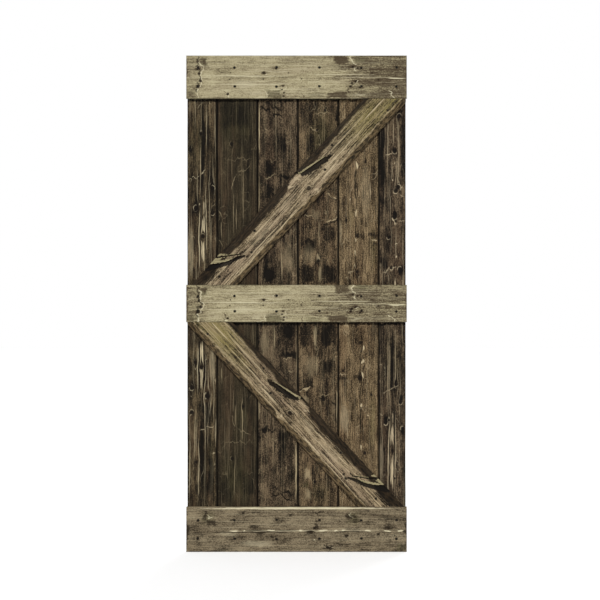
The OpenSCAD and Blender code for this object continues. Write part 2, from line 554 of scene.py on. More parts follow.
@dataclass(frozen=True)
class SteelFinish:
    """Blackened steel."""

    name: str = "black_screw"
    colour: Colour = stain(13, 10, 6)
    worn: Colour = stain(38, 31, 22)
    roughness: float = 0.6
    metallic: float = 0.1
    specular: float = 0.12

    def material(self) -> bpy.types.Material:
        """Makes the material, with a little wear where noise rubs it."""
        made = bpy.data.materials.new(self.name)
        made.use_nodes = True
        loom = Loom(made.node_tree)
        shader = made.node_tree.nodes["Principled BSDF"]
        coordinates = loom.node("ShaderNodeTexCoord")
        x, y, z = loom.split(coordinates.outputs["Object"])
        rub = loom.noise((x * 1000, y * 1000, z * 1000), (2.6, 2.6, 2.6), x * 0 + 1.0, 3.0)
        worn = rub[0].rise(0.45, 0.75) * 0.7
        loom.feed(shader.inputs["Base Color"], loom.blend(worn, self.colour, self.worn))
        loom.feed(shader.inputs["Roughness"], worn * 0.2 + self.roughness)
        shader.inputs["Metallic"].default_value = self.metallic
        shader.inputs["Specular IOR Level"].default_value = self.specular
        return made


PLANK_FINISH = WoodFinish(
    deep=stain(17, 13, 8),
    middle=stain(61, 52, 37),
    light=stain(120, 103, 76),
    bright=stain(184, 166, 130),
    olive=stain(54, 51, 29),
    warm=stain(74, 56, 40),
    knot=stain(20, 15, 10),
    pitch=stain(9, 7, 4),
)
RAIL_FINISH = WoodFinish(
    deep=stain(78, 66, 49),
    middle=stain(166, 155, 121),
    light=stain(196, 187, 152),
    bright=stain(212, 203, 170),
    olive=stain(104, 101, 72),
    warm=stain(154, 140, 113),
    knot=stain(36, 28, 18),
    pitch=stain(30, 24, 16),
    tone_share=0.8,
    blotch_share=0.6,
    streak_share=0.7,
    fibre_share=0.9,
    ring_share=0.2,
    line_share=0.34,
    wisp_share=0.0,
    speck_share=1.4,
    dark_share=0.7,
    ring_depth=0.22,
    pooled_and_shade_share=0.3,
    roughness=0.7,
)
BRACE_FINISH = WoodFinish(
    deep=stain(30, 24, 15),
    middle=stain(121, 105, 80),
    light=stain(180, 162, 130),
    bright=stain(198, 181, 147),
    olive=stain(128, 117, 66),
    warm=stain(134, 113, 93),
    knot=stain(28, 21, 14),
    pitch=stain(16, 12, 7),
    tone_share=1.5,
    blotch_share=1.3,
    streak_share=1.9,
    fibre_share=2.2,
    ring_share=0.3,
    line_share=0.45,
    wisp_share=0.0,
    speck_share=2.2,
    dark_share=0.7,
    ring_depth=0.3,
    pooled_and_shade_share=0.0,
    roughness=0.68,
)


# --- What grows in a board ------------------------------------------------------------------------


class Kind(Enum):
    """What a mark on a board is."""

    DARK = "Dark"
    PALE = "Pale"
    OLIVE = "Olive"
    CRACK = "Crack"


@dataclass(frozen=True)
class Knot:
    """A knot's place on its board, its radius, how pale one side of it is, and which way that lies."""

    along: float
    across: float
    radius: float
    glint: float = 0.0
    side: float = 180.0


@dataclass(frozen=True)
class Mark:
    """A stain, streak or crack on a board's face, or a painted shadow or highlight.

    A mark that goes with the grain bends round the knots as the grain does.
    """

    kind: Kind
    along: float
    across: float
    half_length: float
    half_width: float
    strength: float = 1.0
    turn: float = 0.0
    with_grain: bool = False
    edge: float = SOFT_EDGE
    square: float = 0.0


@dataclass(frozen=True)
class Growth:
    """Where the log's middle lies from the board, and how wide its rings are."""

    seed: float
    pith_across: float
    pith_depth: float
    ring_width: float
    taper: float = 0.0


def dark(along: float, across: float, half_length: float, half_width: float, strength: float = 0.8) -> Mark:
    """Gives a dark stain."""
    return Mark(Kind.DARK, along, across, half_length, half_width, strength)


def pale(along: float, across: float, half_length: float, half_width: float, strength: float = 0.7) -> Mark:
    """Gives a pale patch."""
    return Mark(Kind.PALE, along, across, half_length, half_width, strength)


def olive(
    along: float, across: float, half_length: float, half_width: float, strength: float = 0.8,
) -> Mark:
    """Gives an olive stain."""
    return Mark(Kind.OLIVE, along, across, half_length, half_width, strength, edge=0.05)


def pale_line(start: float, end: float, across: float, half_width: float, strength: float = 0.6) -> Mark:
    """Gives a pale line along the grain, between two places along the board."""
    middle, half = (start + end) / 2, abs(end - start) / 2
    return Mark(Kind.PALE, middle, across, half, half_width, strength, with_grain=True, edge=0.5)


def border(start: float, end: float, across: float, half_width: float, strength: float = 0.8) -> Mark:
    """Gives a dark line along the grain, between two places along the board."""
    middle, half = (start + end) / 2, abs(end - start) / 2
    return Mark(Kind.DARK, middle, across, half, half_width, strength, with_grain=True, edge=0.5)


def block(
    kind: Kind, start: float, end: float, low: float, high: float, strength: float = 0.9, edge: float = 0.6
) -> Mark:
    """Gives a squarish patch between two places along and two across the board."""
    size = (abs(end - start) / 2 + 4, abs(high - low) / 2 + 3)
    return Mark(kind, (start + end) / 2, (low + high) / 2, *size, strength, edge=edge, square=0.85)


def stroke(kind: Kind, start: Point, end: Point, half_width: float, strength: float = 0.7) -> Mark:
    """Gives a mark along the straight line between two points of a board.

    Args:
        kind: What it is.
        start: One end, along and across.
        end: The other end.
        half_width: Half the line's width.
        strength: How much of the mark shows.

    Returns:
        The mark.
    """
    run, climb = end[0] - start[0], end[1] - start[1]
    return Mark(
        kind,
        (start[0] + end[0]) / 2,
        (start[1] + end[1]) / 2,
        math.hypot(run, climb) / 2 + half_width,
        half_width,
        strength,
        math.atan2(climb, run),
        edge=0.5,
    )


def each(make: Callable[..., Mark], *rows: tuple[float, ...]) -> list[Mark]:
    """Makes a mark from each row of values."""
    return [make(*row) for row in rows]


def blocks(kind: Kind, *rows: tuple[float, ...]) -> list[Mark]:
    """Makes a squarish patch of one kind from each row: start, end, low, high, strength, edge."""
    return [block(kind, *row) for row in rows]


def spots(kind: Kind, *rows: tuple[float, ...]) -> list[Mark]:
    """Makes a round patch from each row: along, across, half its length and width, strength, edge."""
    return [Mark(kind, *row[:5], edge=row[5] if len(row) > 5 else SOFT_EDGE) for row in rows]


def strokes(kind: Kind, *rows: tuple) -> list[Mark]:
    """Makes marks along lines from point to point.

    Args:
        kind: What they are.
        rows: For each line its points, then half its width, then its strength.

    Returns:
        The marks, one for each straight part.
    """
    made = []
    for *points, half_width, strength in rows:
        made += [stroke(kind, a, b, half_width, strength) for a, b in zip(points, points[1:])]
    return made


def knots(*places: tuple[float, ...]) -> list[Knot]:
    """Gives a knot for each along, across, radius, and where it has a pale side, glint and side."""
    return [Knot(*place) for place in places]


@dataclass
class Figure:
    """The wood's figure at a point of a board, as wires of one node tree."""

    depth: Wire
    across: Wire
    along: Wire
    face: Wire
    parts: dict[str, Wire]


# --- Boards ---------------------------------------------------------------------------------------


@dataclass(frozen=True)
class Lay:
    """How a board lies in the door: one point of its face, and where its grain and width point.

    Its depth always runs into the door, along +Y.
    """

    origin: tuple[float, float, float]
    along: tuple[float, float, float]
    across: tuple[float, float, float]

    def place(self, points: np.ndarray) -> np.ndarray:
        """Puts board points, in millimetres, into the door's frame, in metres."""
        axes = np.array([self.along, self.across, (0.0, 1.0, 0.0)])
        return (np.array(self.origin) + points @ axes) * MM

    def turns_over(self) -> bool:
        """Says whether the board's own axes are left-handed."""
        return bool(np.cross(self.along, self.across)[1] < 0)


def edge_points(corners: Sequence[tuple[float, float, int]]) -> np.ndarray:
    """Divides the edges of a closed section.

    Args:
        corners: Across, depth, and the number of steps to the next corner.

    Returns:
        The section's points in order, one row each.
    """
    points = []
    for index, (across, depth, steps) in enumerate(corners):
        next_across, next_depth, _ = corners[(index + 1) % len(corners)]
        for share in np.arange(steps) / steps:
            points.append(
                (across + (next_across - across) * share, depth + (next_depth - depth) * share)
            )
    return np.array(points)


def sweep(rows: np.ndarray, caps: list[np.ndarray]) -> tuple[np.ndarray, np.ndarray, list]:
    """Joins equal rings of points into a closed tube.

    Args:
        rows: Rings of board points, as rings by points by three.
        caps: For each end, the point indices of its faces, one face a row.

    Returns:
        The points, the quads between the rings, and the faces that close the ends.
    """
    ring_count, point_count, _ = rows.shape
    numbers = np.arange(ring_count * point_count).reshape(ring_count, point_count)
    first, second = numbers[:-1], numbers[1:]
    quads = np.stack(
        [first, np.roll(first, -1, 1), np.roll(second, -1, 1), second], -1
    ).reshape(-1, 4)
    ends = []
    for face in caps[0]:
        ends.append([int(i) for i in numbers[0][face]][::-1])
    for face in caps[1]:
        ends.append([int(i) for i in numbers[-1][face]])
    return rows.reshape(-1, 3), quads, ends


def run_straight(section: np.ndarray, length: float, step: float) -> Shell:
    """Runs a section straight along the grain.

    Args:
        section: The section's points, across and depth.
        length: How long the board is.
        step: How far apart the rings of points are, about.

    Returns:
        The shaped points, the points at rest, how each lies to the wanes, and the faces.
    """
    along = np.linspace(0, length, round(length / step) + 1)
    rows = np.zeros((len(along), len(section), 3))
    rows[..., 0] = along[:, None]
    rows[..., 1:] = section[None]
    whole = [np.arange(len(section))]
    points, quads, ends = sweep(rows, [whole, whole])
    return points, points, np.zeros_like(points), quads, ends


def make_mesh(name: str, points: np.ndarray, faces: Iterable[Sequence[int]]) -> bpy.types.Mesh:
    """Makes a mesh from points in metres and faces."""
    mesh = bpy.data.meshes.new(name)
    mesh.from_pydata(points.tolist(), [], [list(face) for face in faces])
    mesh.update()
    return mesh


def give_attribute(mesh: bpy.types.Mesh, name: str, values: np.ndarray) -> None:
    """Stores a vector or a number on every vertex."""
    kind, key = ("FLOAT_VECTOR", "vector") if values.ndim == 2 else ("FLOAT", "value")
    layer = mesh.attributes.new(name, kind, "POINT")
    layer.data.foreach_set(key, values.astype(np.float32).reshape(-1))


def smooth(mesh: bpy.types.Mesh, degrees: float) -> None:
    """Shades a mesh smooth, but keeps edges sharper than an angle."""
    mesh.polygons.foreach_set("use_smooth", np.ones(len(mesh.polygons), bool))
    mesh.set_sharp_from_angle(angle=math.radians(degrees))


def set_input(modifier: bpy.types.Modifier, name: str, value: object) -> None:
    """Sets a Geometry Nodes modifier's input, found by name and set by its identifier."""
    for item in modifier.node_group.interface.items_tree:
        if item.item_type == "SOCKET" and item.in_out == "INPUT" and item.name == name:
            modifier[item.identifier] = value
            return
    raise KeyError(name)


def settled(holder: bpy.types.Object, name: str) -> bpy.types.Mesh:
    """Turns an object's evaluated result into a plain mesh and removes its modifiers."""
    bpy.context.view_layer.update()
    graph = bpy.context.evaluated_depsgraph_get()
    mesh = bpy.data.meshes.new_from_object(holder.evaluated_get(graph), depsgraph=graph)
    mesh.name = name
    holder.modifiers.clear()
    return mesh


@dataclass
class Screws:
    """The screws of one row of the door, and the bores that they sit in."""

    length: float = 30.0
    thread: float = 2.1
    core: float = 1.45
    pitch: float = 1.9
    head: float = 4.1
    point: float = 5.0
    slot_reach: float = 4.6
    slot_width: float = 1.0
    slot_depth: float = 2.0
    sunk: float = 1.0
    sides: int = 14

    def places(self, node: bpy.types.Object) -> list[tuple[float, float, float]]:
        """Finds the middle of each screw's head in a screw node, in metres.

        Args:
            node: The node's object.

        Returns:
            The place of each head's top.
        """
        co = np.empty(len(node.data.vertices) * 3)
        node.data.vertices.foreach_get("co", co)
        left = co.reshape(-1, 3)
        found = []
        while len(left):
            near = np.hypot(left[:, 0] - left[0, 0], left[:, 2] - left[0, 2]) < 0.012
            screw = left[near]
            middle = (screw.min(0) + screw.max(0)) / 2
            found.append((float(middle[0]), float(screw[:, 1].min()), float(middle[2])))
            left = left[~near]
        return sorted(found)

    def blank(self) -> bpy.types.Mesh:
        """Makes one screw without its cross recess, head up at the origin and shank along +Y."""
        cone = self.head - self.thread
        rise = self.length - self.point
        depths = [0.0, 0.12, cone, cone + 1.0]
        depths += list(np.arange(cone + 1.4, rise, self.pitch / 4))
        depths += [rise, rise + 1.7, rise + 3.4, self.length - 0.15]
        rows = []
        for depth in depths:
            turn = np.arange(self.sides) * 2 * math.pi / self.sides
            if depth <= 0.12:
                radius = np.full(self.sides, self.head - 0.12 + depth)
            elif depth <= cone:
                radius = np.full(self.sides, self.thread)
            elif depth <= cone + 1.0:
                radius = np.full(self.sides, self.core)
            else:
                phase = (depth / self.pitch - turn / (2 * math.pi)) % 1.0
                crest = np.clip(1 - np.abs(phase - 0.5) * 3.2, 0, 1)
                taper = min(1.0, (self.length - depth + 0.3) / self.point)
                radius = (self.core + (self.thread - self.core) * crest) * taper
            rows.append(
                np.stack([radius * np.cos(turn), np.full(self.sides, depth), radius * np.sin(turn)], 1)
            )
        points, quads, ends = sweep(np.array(rows), [[np.arange(self.sides)]] * 2)
        faces = [list(q)[::-1] for q in quads] + [face[::-1] for face in ends]
        return make_mesh("screw_blank", points * MM, faces)

    def bore(self) -> bpy.types.Mesh:
        """Makes the space that one screw takes out of the wood, from its head's top down."""
        cone = self.head - self.thread
        outline = [
            (-2.5, self.head), (0.0, self.head), (cone, self.thread), (self.length + 0.3, self.thread),
        ]
        turn = np.arange(24) * 2 * math.pi / 24
        rows = np.array(
            [
                np.stack([r * np.cos(turn), np.full(24, d), r * np.sin(turn)], 1)
                for d, r in outline
            ]
        )
        points, quads, ends = sweep(rows, [[np.arange(24)]] * 2)
        faces = [list(q)[::-1] for q in quads] + [face[::-1] for face in ends]
        mesh = make_mesh("screw_bore", points * MM, faces)
        give_attribute(mesh, BOARD, np.tile((0.0, 0.0, -BORE_MARK * MM), (len(points), 1)))
        give_attribute(mesh, NEAR, np.zeros(len(points)))
        return mesh

    def tree(self) -> bpy.types.NodeTree:
        """Makes the tree that cuts the recess and sets a screw, turned by chance, at each place."""
        tree = bpy.data.node_groups.new("set_screws", "GeometryNodeTree")
        new = tree.interface.new_socket
        new("Geometry", in_out="INPUT", socket_type="NodeSocketGeometry")
        new("Screw", in_out="INPUT", socket_type="NodeSocketObject")
        for name, value in (
            ("Slot Reach", self.slot_reach * MM),
            ("Slot Width", self.slot_width * MM),
            ("Slot Depth", self.slot_depth * MM),
        ):
            new(name, in_out="INPUT", socket_type="NodeSocketFloat").default_value = value
        new("Seed", in_out="INPUT", socket_type="NodeSocketInt").default_value = 7
        new("Finish", in_out="INPUT", socket_type="NodeSocketMaterial")
        new("Geometry", in_out="OUTPUT", socket_type="NodeSocketGeometry")
        loom = Loom(tree)
        given = loom.node("NodeGroupInput").outputs
        blank = loom.node("GeometryNodeObjectInfo")
        loom.feed(blank.inputs["Object"], given["Screw"])
        reach = Wire(loom, given["Slot Reach"])
        width = Wire(loom, given["Slot Width"])
        depth = Wire(loom, given["Slot Depth"]) * 2
        cut = loom.node("GeometryNodeMeshBoolean", operation="DIFFERENCE", solver="EXACT")
        loom.feed(cut.inputs["Mesh 1"], blank.outputs["Geometry"])
        for size in (loom.vector(reach, depth, width), loom.vector(width, depth, reach)):
            bar = loom.node("GeometryNodeMeshCube")
            loom.feed(bar.inputs["Size"], size)
            loom.tree.links.new(bar.outputs["Mesh"], cut.inputs["Mesh 2"])
        turn = loom.node("FunctionNodeRandomValue", data_type="FLOAT_VECTOR")
        turn.inputs[0].default_value = (0, 0, 0)
        turn.inputs[1].default_value = (0, math.pi, 0)
        loom.feed(turn.inputs["Seed"], given["Seed"])
        spread = loom.node("GeometryNodeInstanceOnPoints")
        loom.feed(spread.inputs["Points"], given["Geometry"])
        loom.feed(spread.inputs["Instance"], cut.outputs["Mesh"])
        loom.feed(spread.inputs["Rotation"], turn.outputs["Value"])
        real = loom.node("GeometryNodeRealizeInstances")
        loom.feed(real.inputs["Geometry"], spread.outputs["Instances"])
        finish = loom.node("GeometryNodeSetMaterial")
        loom.feed(finish.inputs["Geometry"], real.outputs["Geometry"])
        loom.feed(finish.inputs["Material"], given["Finish"])
        end = loom.node("NodeGroupOutput")
        loom.feed(end.inputs["Geometry"], finish.outputs["Geometry"])
        return tree


class Workshop:
    """Keeps what every board and every row of screws shares."""

    def __init__(self, nodes: dict[str, bpy.types.Object]) -> None:
        """Makes the screw, its bore, and the places of all the screws.

        Args:
            nodes: The frame's nodes by name.
        """
        self.nodes = nodes
        self.screws = Screws()
        self.tree = self.screws.tree()
        self.steel = SteelFinish().material()
        self.blank = self.hold("screw_blank_holder", self.screws.blank())
        self.bore = self.hold("screw_bore_holder", self.screws.bore())
        self.rows = {
            name: self.screws.places(node) for name, node in nodes.items() if name.endswith("_screws")
        }
        self.places = self.hold("all_screw_places", self.point_mesh(sum(self.rows.values(), [])))

    def hold(self, name: str, mesh: bpy.types.Mesh) -> bpy.types.Object:
        """Links a helper object that is taken away again at the end."""
        made = bpy.data.objects.new(name, mesh)
        bpy.context.scene.collection.objects.link(made)
        made.hide_render = True
        return made

    def point_mesh(self, places: list[tuple[float, float, float]]) -> bpy.types.Mesh:
        """Makes a mesh of loose points."""
        return make_mesh("screw_places", np.array(places), [])

    def away_from_screws(self, points: np.ndarray) -> np.ndarray:
        """Measures how far points in metres lie from the nearest screw's middle, in millimetres."""
        heads = np.array(sum(self.rows.values(), []))
        away = np.full(len(points), FAR)
        for x, _, z in heads:
            away = np.minimum(away, np.hypot(points[:, 0] - x, points[:, 2] - z) / MM)
        return away

    def clear(self) -> None:
        """Takes the helper objects away."""
        for helper in (self.blank, self.bore, self.places):
            bpy.data.objects.remove(helper)

    def set_row(self, node: str) -> bpy.types.Object:
        """Builds one row of screws in place of its node.

        Args:
            node: The node's name.

        Returns:
            The finished piece.
        """
        holder = self.hold(f"{node}_holder", self.point_mesh(self.rows[node]))
        modifier = holder.modifiers.new("set_screws", "NODES")
        modifier.node_group = self.tree
        set_input(modifier, "Screw", self.blank)
        set_input(modifier, "Finish", self.steel)
        mesh = settled(holder, f"{node}_set")
        bpy.data.objects.remove(holder)
        smooth(mesh, 32)
        piece = bpy.data.objects.new(f"{node}_set", mesh)
        bpy.context.scene.collection.objects.link(piece)
        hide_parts(node)
        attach(piece, "root")
        return piece


@dataclass
class Board:
    """A board of the door: its lay, its growth, its marks and its finish."""

    node: str
    slot: str
    finish: WoodFinish
    growth: Growth
    knots: list[Knot] = field(default_factory=list)
    marks: list[Mark] = field(default_factory=list)
    back_relief: float = 0.5
    pool_and_shade_reach: float = 6.5
    dirt_reach: float = 7.5

    def lay(self) -> Lay:
        """Gives how the board lies in the door."""
        raise NotImplementedError

    def shell(self) -> Shell:
        """Gives the shaped points, the points at rest, how each lies to the wanes, and the faces."""
        raise NotImplementedError

    def extras(self) -> list[tuple[np.ndarray, np.ndarray, list]]:
        """Gives loose slivers: their board points, their own grain's places, and their faces."""
        return []

    def figure(self, loom: Loom) -> Figure:
        """Weaves the wood's figure, the same for colour and for relief.

        Args:
            loom: The loom of a material or of a geometry tree.

        Returns:
            The figure's wires.
        """
        raw = loom.split(loom.attribute(BOARD, True))
        along, across, depth = (wire * 1000 for wire in raw)
        seed = self.growth.seed
        bent = SPREAD.place(loom, {"Along": along, "Across": across, "Depth": depth, "Seed": seed})
        rough, face = bent["Rough"], bent["Face"]
        flow: Wire = across + (bent["Bent Across"] - across) * 0.22
        parts: dict[str, Wire | float] = {"Knot": 0.0, "Halo": 0.0, "Rim": 0.0, "Pale": 0.0}
        for knot in self.knots:
            made = KNOT.place(
                loom,
                {
                    "Along": along,
                    "Across": across,
                    "Rough": rough,
                    "At Along": knot.along,
                    "At Across": knot.across,
                    "Radius": knot.radius,
                    "Flow": flow,
                    "Knot": parts["Knot"],
                    "Halo": parts["Halo"],
                    "Rim": parts["Rim"],
                    "Glint": knot.glint,
                    "Side Along": math.cos(math.radians(knot.side)),
                    "Side Across": math.sin(math.radians(knot.side)),
                    "Pale": parts["Pale"],
                },
            )
            flow = made.pop("Flow")
            parts.update(made)
        masks: dict[Kind, Wire | float] = {kind: 0.0 for kind in Kind}
        masks[Kind.PALE] = parts["Pale"]
        for mark in self.marks:
            masks[mark.kind] = MARK.place(
                loom,
                {
                    "Along": bent["Bent Along"],
                    "Across": flow if mark.with_grain else bent["Bent Across"],
                    "Rough": rough * (0.4 if mark.with_grain else 0.7),
                    "At Along": mark.along,
                    "At Across": mark.across,
                    "Half Length": mark.half_length,
                    "Half Width": mark.half_width,
                    "Cosine": math.cos(mark.turn),
                    "Sine": math.sin(mark.turn),
                    "Edge": mark.edge,
                    "Square": mark.square,
                    "Strength": mark.strength,
                    "Mask": masks[mark.kind],
                },
            )["Mask"]
        for kind, mask in masks.items():
            parts[kind.value] = mask * face if isinstance(mask, Wire) else 0.0
        parts.update(
            GRAIN.place(
                loom,
                {
                    "Along": along,
                    "Across": across,
                    "Flow": flow,
                    "Depth": depth,
                    "Seed": seed,
                    "Pith Across": self.growth.pith_across,
                    "Pith Depth": self.growth.pith_depth,
                    "Taper": self.growth.taper,
                    "Ring Width": self.growth.ring_width,
                },
            )
        )
        return Figure(depth, across, along, face, parts)

    def relief(self, loom: Loom, figure: Figure, share: float) -> Wire:
        """Weaves how far the face is worn down, in millimetres, times a share."""
        names = ("Ring", "Fibre", "Streak", "Knot", "Rim", "Crack")
        feeds: dict[str, Feed] = {name: figure.parts[name] for name in names}
        feeds["Ring Depth"] = self.finish.ring_depth
        feeds["Fibre Depth"] = self.finish.fibre_depth
        return RELIEF.place(loom, feeds)["Worn"] * share

    def half_width(self) -> float:
        """Gives half the width of the board's face."""
        raise NotImplementedError

    def pooled(self, loom: Loom, figure: Figure) -> Wire:
        """Weaves where the wood is darkened: stain pooled on the bevels and beside them, which also paints
        the shade of the seams; dirt round the screws; and painted shade in the screw holes.
        """
        bevel = figure.depth.rise(0.25, 1.4) * (1 - figure.depth.rise(3.0, 6.0))
        inset = self.half_width() - loom.math("ABSOLUTE", figure.across)
        ragged = (figure.parts["Streak"] - 0.5) * 10
        beside = (1 - (inset + ragged).rise(self.pool_and_shade_reach * 0.3, self.pool_and_shade_reach)) * figure.face
        hole_shade = (figure.depth * -1).rise(1.0, 2.0)
        near = Wire(loom, loom.attribute(NEAR, False)) + (figure.parts["Fibre"] - 0.5) * 4
        dirt = (1 - near.rise(4.2, self.dirt_reach)) * figure.face
        # Pooled stain and painted seam shade along the edges, dirt round the screws, painted shade in the
        # screw holes.
        pools_and_seam_shade = (beside * 0.95).most(bevel).most(0.0) * self.finish.pooled_and_shade_share
        return pools_and_seam_shade.most(dirt * 0.9) + hole_shade * 0.85

    def material(self) -> bpy.types.Material:
        """Makes the board's material from its figure.

        Returns:
            The material.
        """
        made = bpy.data.materials.new(f"{self.slot}_{self.node}")
        made.use_nodes = True
        loom = Loom(made.node_tree)
        shader = made.node_tree.nodes["Principled BSDF"]
        figure = self.figure(loom)
        finish = self.finish
        pooled = self.pooled(loom, figure).clamped()
        feeds: dict[str, Feed] = {**figure.parts, "Pooled": pooled, **finish.feeds()}
        coloured = STAIN.place(loom, feeds)
        loom.feed(shader.inputs["Base Color"], self.dress(loom, figure, coloured["Colour"]))
        sheen = finish.roughness - coloured["Shade"] * 0.12
        loom.feed(shader.inputs["Roughness"], sheen)
        shader.inputs["Specular IOR Level"].default_value = finish.specular
        bump = loom.node("ShaderNodeBump")
        bump.inputs["Strength"].default_value = 1.0
        bump.inputs["Distance"].default_value = MM
        loom.feed(bump.inputs["Height"], self.relief(loom, figure, -0.6))
        loom.feed(shader.inputs["Normal"], bump.outputs["Normal"])
        return made

    def dress(self, loom: Loom, figure: Figure, colour: Wire) -> Wire:
        """Changes the finished colour where this kind of board needs it."""
        return colour

    def weathering(self) -> bpy.types.NodeTree:
        """Makes the tree that wears the board's faces down and bores its screw holes.

        Returns:
            The tree.
        """
        tree = bpy.data.node_groups.new(f"weather_{self.node}", "GeometryNodeTree")
        new = tree.interface.new_socket
        new("Geometry", in_out="INPUT", socket_type="NodeSocketGeometry")
        new("Relief", in_out="INPUT", socket_type="NodeSocketFloat").default_value = 1.0
        new("Back Share", in_out="INPUT", socket_type="NodeSocketFloat").default_value = 0.5
        new("Screw Places", in_out="INPUT", socket_type="NodeSocketObject")
        new("Bore", in_out="INPUT", socket_type="NodeSocketObject")
        new("Finish", in_out="INPUT", socket_type="NodeSocketMaterial")
        new("Geometry", in_out="OUTPUT", socket_type="NodeSocketGeometry")
        loom = Loom(tree)
        given = loom.node("NodeGroupInput").outputs
        figure = self.figure(loom)
        back = 1 - figure.depth.rise(4.0, 10.0) * (1 - Wire(loom, given["Back Share"]))
        worn = self.relief(loom, figure, 1.0) * Wire(loom, given["Relief"]) * back
        normal = loom.node("GeometryNodeInputNormal")
        inward = loom.node("ShaderNodeVectorMath", operation="SCALE")
        loom.feed(inward.inputs[0], normal.outputs["Normal"])
        loom.feed(inward.inputs["Scale"], worn * -MM)
        moved = loom.node("GeometryNodeSetPosition")
        loom.feed(moved.inputs["Geometry"], given["Geometry"])
        loom.feed(moved.inputs["Offset"], inward.outputs[0])
        places = loom.node("GeometryNodeObjectInfo")
        loom.feed(places.inputs["Object"], given["Screw Places"])
        bore = loom.node("GeometryNodeObjectInfo")
        loom.feed(bore.inputs["Object"], given["Bore"])
        spread = loom.node("GeometryNodeInstanceOnPoints")
        loom.feed(spread.inputs["Points"], places.outputs["Geometry"])
        loom.feed(spread.inputs["Instance"], bore.outputs["Geometry"])
        bores = loom.node("GeometryNodeRealizeInstances")
        loom.feed(bores.inputs["Geometry"], spread.outputs["Instances"])
        cut = loom.node("GeometryNodeMeshBoolean", operation="DIFFERENCE", solver="MANIFOLD")
        loom.feed(cut.inputs["Mesh 1"], moved.outputs["Geometry"])
        loom.feed(cut.inputs["Mesh 2"], bores.outputs["Geometry"])
        real = loom.node("GeometryNodeRealizeInstances")
        loom.feed(real.inputs["Geometry"], cut.outputs["Mesh"])
        finish = loom.node("GeometryNodeSetMaterial")
        loom.feed(finish.inputs["Geometry"], real.outputs["Geometry"])
        loom.feed(finish.inputs["Material"], given["Finish"])
        end = loom.node("NodeGroupOutput")
        loom.feed(end.inputs["Geometry"], finish.outputs["Geometry"])
        return tree

    def build(self, shop: Workshop) -> bpy.types.Object:
        """Builds the board in place of its node.

        Args:
            shop: What the boards share.

        Returns:
            The finished piece.
        """
        lay = self.lay()
        shaped, rest, edges, quads, ends = self.shell()
        faces = [list(face) for face in quads.tolist()] + ends
        if not lay.turns_over():
            faces = [face[::-1] for face in faces]
        mesh = make_mesh(f"{self.node}_blank", lay.place(shaped), faces)
        give_attribute(mesh, BOARD, rest * MM)
        give_attribute(mesh, EDGE, edges)
        give_attribute(mesh, NEAR, shop.away_from_screws(lay.place(shaped)))
        holder = shop.hold(f"{self.node}_holder", mesh)
        material = self.material()
        modifier = holder.modifiers.new("weathering", "NODES")
        modifier.node_group = self.weathering()
        set_input(modifier, "Back Share", self.back_relief)
        set_input(modifier, "Screw Places", shop.places)
        set_input(modifier, "Bore", shop.bore)
        set_input(modifier, "Finish", material)
        name = f"{self.node}_board"
        worn = settled(holder, name)
        bpy.data.objects.remove(holder)
        piece = bpy.data.objects.new(name, worn)
        bpy.context.scene.collection.objects.link(piece)
        self.add_slivers(piece, lay, material)
        smooth(piece.data, 38)
        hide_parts(self.node)
        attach(piece, "root")
        return piece

    def add_slivers(self, piece: bpy.types.Object, lay: Lay, material: bpy.types.Material) -> None:
        """Joins the board's loose slivers into its mesh."""
        loose = []
        for points, own, faces in self.extras():
            if not lay.turns_over():
                faces = [face[::-1] for face in faces]
            mesh = make_mesh(f"{self.node}_sliver", lay.place(points), faces)
            give_attribute(mesh, BOARD, own * MM)
            give_attribute(mesh, EDGE, np.tile((-FAR, -FAR, -1.0), (len(points), 1)))
            give_attribute(mesh, NEAR, np.full(len(points), FAR))
            mesh.materials.append(material)
            sliver = bpy.data.objects.new(mesh.name, mesh)
            bpy.context.scene.collection.objects.link(sliver)
            loose.append(sliver)
        if loose:
            with bpy.context.temp_override(
                active_object=piece, object=piece, selected_editable_objects=[piece, *loose]
            ):
                bpy.ops.object.join()


